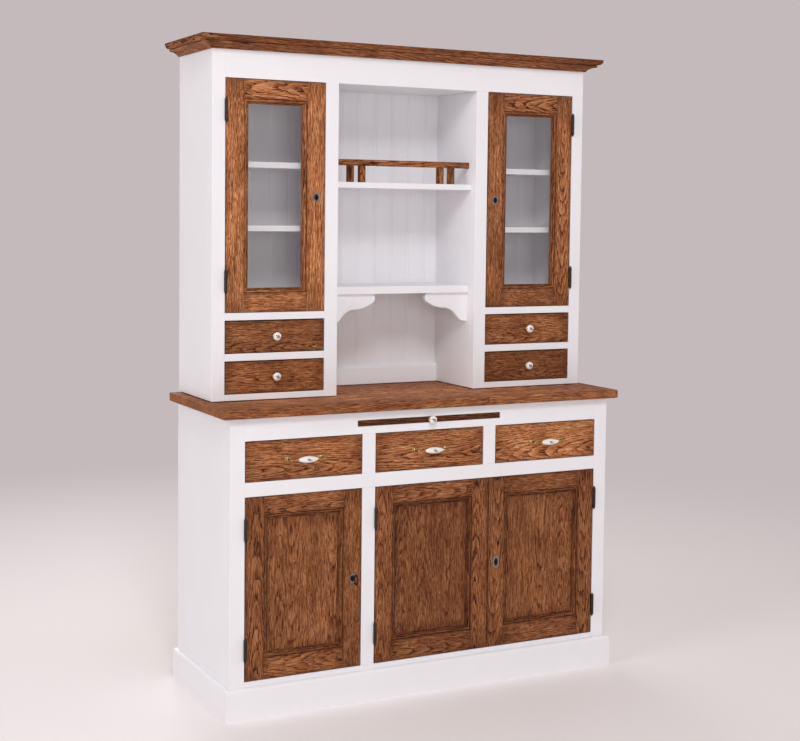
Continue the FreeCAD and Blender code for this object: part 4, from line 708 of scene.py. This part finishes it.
def bow_handle(node):
    """A brass bow: a round foot and a post at each end, and a tapered arm to a porcelain grip."""
    low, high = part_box(node)
    middle = (low + high) / 2
    front = high.y
    axis = Vector((middle.x, low.y + GRIP_RADIUS * MM, middle.z))
    centres = (high.x - low.x) / MM - 2 * FOOT_RADIUS
    arm = (centres - GRIP_LENGTH) / 2
    rise = (front - axis.y) / MM
    metalwork = bmesh.new()
    for side in (-1, 1):
        foot = Vector((middle.x + side * centres / 2 * MM, front, middle.z))
        turned(metalwork, [(0, 0), (FOOT_RADIUS, 0), (FOOT_RADIUS, 0.8), (10.6, 1.9), (9.2, 2.2), (8.2, 1.5),
                           (7.2, 1.5), (5.6, 2.8), (4.2, 3.6), (3.5, 5), (POST_RADIUS, 9),
                           (POST_RADIUS, rise - 2), (0, rise - 2)], foot, FORWARD)
        tip = Vector((foot.x, axis.y, axis.z))
        bmesh.ops.create_icosphere(metalwork, subdivisions=3, radius=BALL_RADIUS * MM,
                                   matrix=Matrix.Translation(tip))
        turned(metalwork, [(0, 0), (3, 0), (2.6, arm * 0.25), (3.1, arm * 0.5), (4.1, arm * 0.75),
                           (4.4, arm - 3.4), (5.1, arm - 2.9), (5.4, arm - 2.1), (5.1, arm - 1.2), (4.5, arm),
                           (4, arm + 0.6), (0, arm + 0.6)], tip, (-side, 0, 0))
    grip = bmesh.new()
    half = GRIP_LENGTH / 2
    profile = [(0, 0)]
    for step in range(GRIP_STEPS + 1):
        share = 2 * step / GRIP_STEPS - 1
        radius = GRIP_END_RADIUS + (GRIP_RADIUS - GRIP_END_RADIUS) * (1 - share ** 2)
        profile.append((radius, half * (share + 1)))
    profile.append((0, GRIP_LENGTH))
    turned(grip, profile, axis - Vector((half * MM, 0, 0)), (1, 0, 0))
    mark_face(grip, axis, GRIP_RADIUS * MM, GRIP_RADIUS * MM)
    finished(f"{node}_casting", [(metalwork, 0), (grip, 1)], [brass, glazed_porcelain], node)


BEAD = 1.25
BEAD_SPACING = 2.3


def beaded_plate(shape):
    """A cast keyhole plate with a row of beads round its rim."""
    low, high = corners(shape)
    middle = (low + high) / 2
    wide, tall = (high.x - low.x) / 2 - BEAD * MM, (high.z - low.z) / 2 - BEAD * MM
    count = round(math.pi * (wide + tall) / (BEAD_SPACING * BEAD * MM))
    for number in range(count):
        turn = math.tau * number / count
        place = Vector((middle.x + wide * math.cos(turn), low.y, middle.z + tall * math.sin(turn)))
        bmesh.ops.create_icosphere(shape, subdivisions=2, radius=BEAD * MM,
                                   matrix=Matrix.Translation(place))
    mark_face(shape, middle, (high.x - low.x) / 2, (high.z - low.z) / 2)


def door_fittings(door):
    """A door's hinge leaves, and its keyhole plate over the lock's case."""
    solids = solids_of(f"{door}_fittings")
    shapes = [(shape, 0) for shape in solids[:2]]
    if door == "middle_door":
        shapes.append((solids[2], 2))
    else:
        case, plate = solids[2:]
        beaded_plate(plate)
        shapes += [(case, 2), (plate, 1)]
    finished(f"{door}_ironmongery", shapes, [iron, pewter, steel], f"{door}_fittings")


for node in KNOBS:
    knob(node)
for node in HANDLES:
    bow_handle(node)
for door in BASE_DOORS + GLASS_DOORS:
    door_fittings(door)

# These keep their CAD shape, which is already as fine as the real piece.
kept = {"hinge_frame_leaves": iron, "key": iron, "joining_brackets": steel, "middle_door_flush_bolt": steel}
kept.update({f"{door}_lock_bolt": steel for door in ("left_door", "right_door") + GLASS_DOORS})
kept.update({f"{door}_pane": glass for door in GLASS_DOORS})
for node, finish in kept.items():
    frame["nodes"][node].material_slots[0].material = finish


# ---------------------------------------------------------------- floor, light and camera

BACKDROP = "#C4BABC"
FLOOR_RADIUS = 60
FADE_START, FADE_END = 1.2, 4.5


def seen_directly(tree):
    """Whether light goes straight to the camera, or to it by metal or glass."""
    ray = add(tree, "LightPath", {})
    seen = add(tree, "Math", {0: ray.outputs["Is Glossy Ray"], 1: ray.outputs["Is Transmission Ray"]},
               operation="MAXIMUM")
    return add(tree, "Math", {0: seen, 1: ray.outputs["Is Camera Ray"]}, operation="MAXIMUM")


def studio_floor():
    """A plain pale floor that goes over into the backdrop, so that no horizon shows."""
    made, tree, shader = material("pale_floor")
    place = add(tree, "TexCoord", {}).outputs["Object"]
    reach = add(tree, "VectorMath", {0: place}, operation="LENGTH")
    far = add(tree, "MapRange", {"Value": reach, "From Min": FADE_START, "From Max": FADE_END},
              interpolation_type="SMOOTHSTEP")
    place = add(tree, "Mapping", {"Vector": place, "Scale": lumps(900, 900, 900)})
    cloud = add(tree, "TexNoise", {"Vector": place, "Scale": 1.0, "Detail": 2.0})
    colour = add(tree, "Mix", {"Factor": cloud, "A": linear("#F7F0F0"), "B": linear("#F3ECEC")},
                 data_type="RGBA")
    add(tree, shader, {"Base Color": colour, "Roughness": 0.6, "Specular IOR Level": 0.3})
    backdrop = add(tree, "Emission", {"Color": linear(BACKDROP), "Strength": 1.0})
    far = add(tree, "Math", {0: far, 1: seen_directly(tree)}, operation="MULTIPLY")
    both = add(tree, "MixShader", {0: far, 1: shader, 2: backdrop})
    add(tree, tree.nodes["Material Output"], {"Surface": both})
    shape = bmesh.new()
    bmesh.ops.create_circle(shape, cap_ends=True, radius=FLOOR_RADIUS, segments=96)
    mesh = bpy.data.meshes.new("floor")
    shape.to_mesh(mesh)
    shape.free()
    mesh.materials.append(made)
    floor = bpy.data.objects.new("floor", mesh)
    bpy.context.scene.collection.objects.link(floor)


def soft_world():
    """Even light from all round, and a pale backdrop for the camera, for metal and for glass."""
    world = bpy.data.worlds.new("studio")
    world.use_nodes = True
    bpy.context.scene.world = world
    tree = world.node_tree
    tree.nodes.clear()
    light = add(tree, "Background", {"Color": linear("#FFF8F5"), "Strength": 0.42})
    backdrop = add(tree, "Background", {"Color": linear(BACKDROP), "Strength": 1.0})
    both = add(tree, "MixShader", {0: seen_directly(tree), 1: light, 2: backdrop})
    add(tree, "OutputWorld", {"Surface": both})


# Each with its place and its size in metres, and its power in watts.
LAMPS = {"high_front": ((-2.0, -4.4, 4.9), 1.3, 112), "low_front": ((-1.5, -5.5, 1.6), 2.0, 48),
         "left": ((-7.0, -1.5, 3.0), 3.0, 150), "right": ((7.0, -1.5, 3.0), 3.0, 80),
         "back": ((0.5, 7.0, 3.0), 3.0, 120)}
LAMP_AIM = Vector((0, 0, 1.0))


def lamp(name, place, size, power):
    """A soft square lamp that points at the cupboard."""
    data = bpy.data.lights.new(name, "AREA")
    data.size = size
    data.energy = power
    data.color = linear("#FBFDFF")[:3]
    thing = bpy.data.objects.new(name, data)
    bpy.context.scene.collection.objects.link(thing)
    thing.location = place
    thing.rotation_euler = (LAMP_AIM - Vector(place)).to_track_quat("-Z", "Y").to_euler()


CAMERA_PLACE = Vector((-2264.2, -4366.6, 1553.0)) * MM
CAMERA_YAW, CAMERA_PITCH, CAMERA_ROLL = -0.478, -0.0623, 0.011
FOCAL_PIXELS = 1468.2
IMAGE_WIDTH, IMAGE_HEIGHT = 800, 741
EYE_LEVEL_PIXEL = 306.5


def camera():
    """The view of the cupboard from its front left, at a standing person's eye height."""
    data = bpy.data.cameras.new("camera")
    data.sensor_width = 36
    data.lens = FOCAL_PIXELS / IMAGE_WIDTH * data.sensor_width
    data.shift_y = (EYE_LEVEL_PIXEL - IMAGE_HEIGHT / 2) / IMAGE_WIDTH
    thing = bpy.data.objects.new("camera", data)
    bpy.context.scene.collection.objects.link(thing)
    thing.matrix_world = (Matrix.Translation(CAMERA_PLACE) @ Matrix.Rotation(CAMERA_YAW, 4, "Z")
                          @ Matrix.Rotation(math.pi / 2 + CAMERA_PITCH, 4, "X")
                          @ Matrix.Rotation(CAMERA_ROLL, 4, "Z"))
    bpy.context.scene.camera = thing


studio_floor()
soft_world()
for name, (place, size, power) in LAMPS.items():
    lamp(name, place, size, power)
camera()
bpy.context.scene.view_settings.view_transform = "Standard"
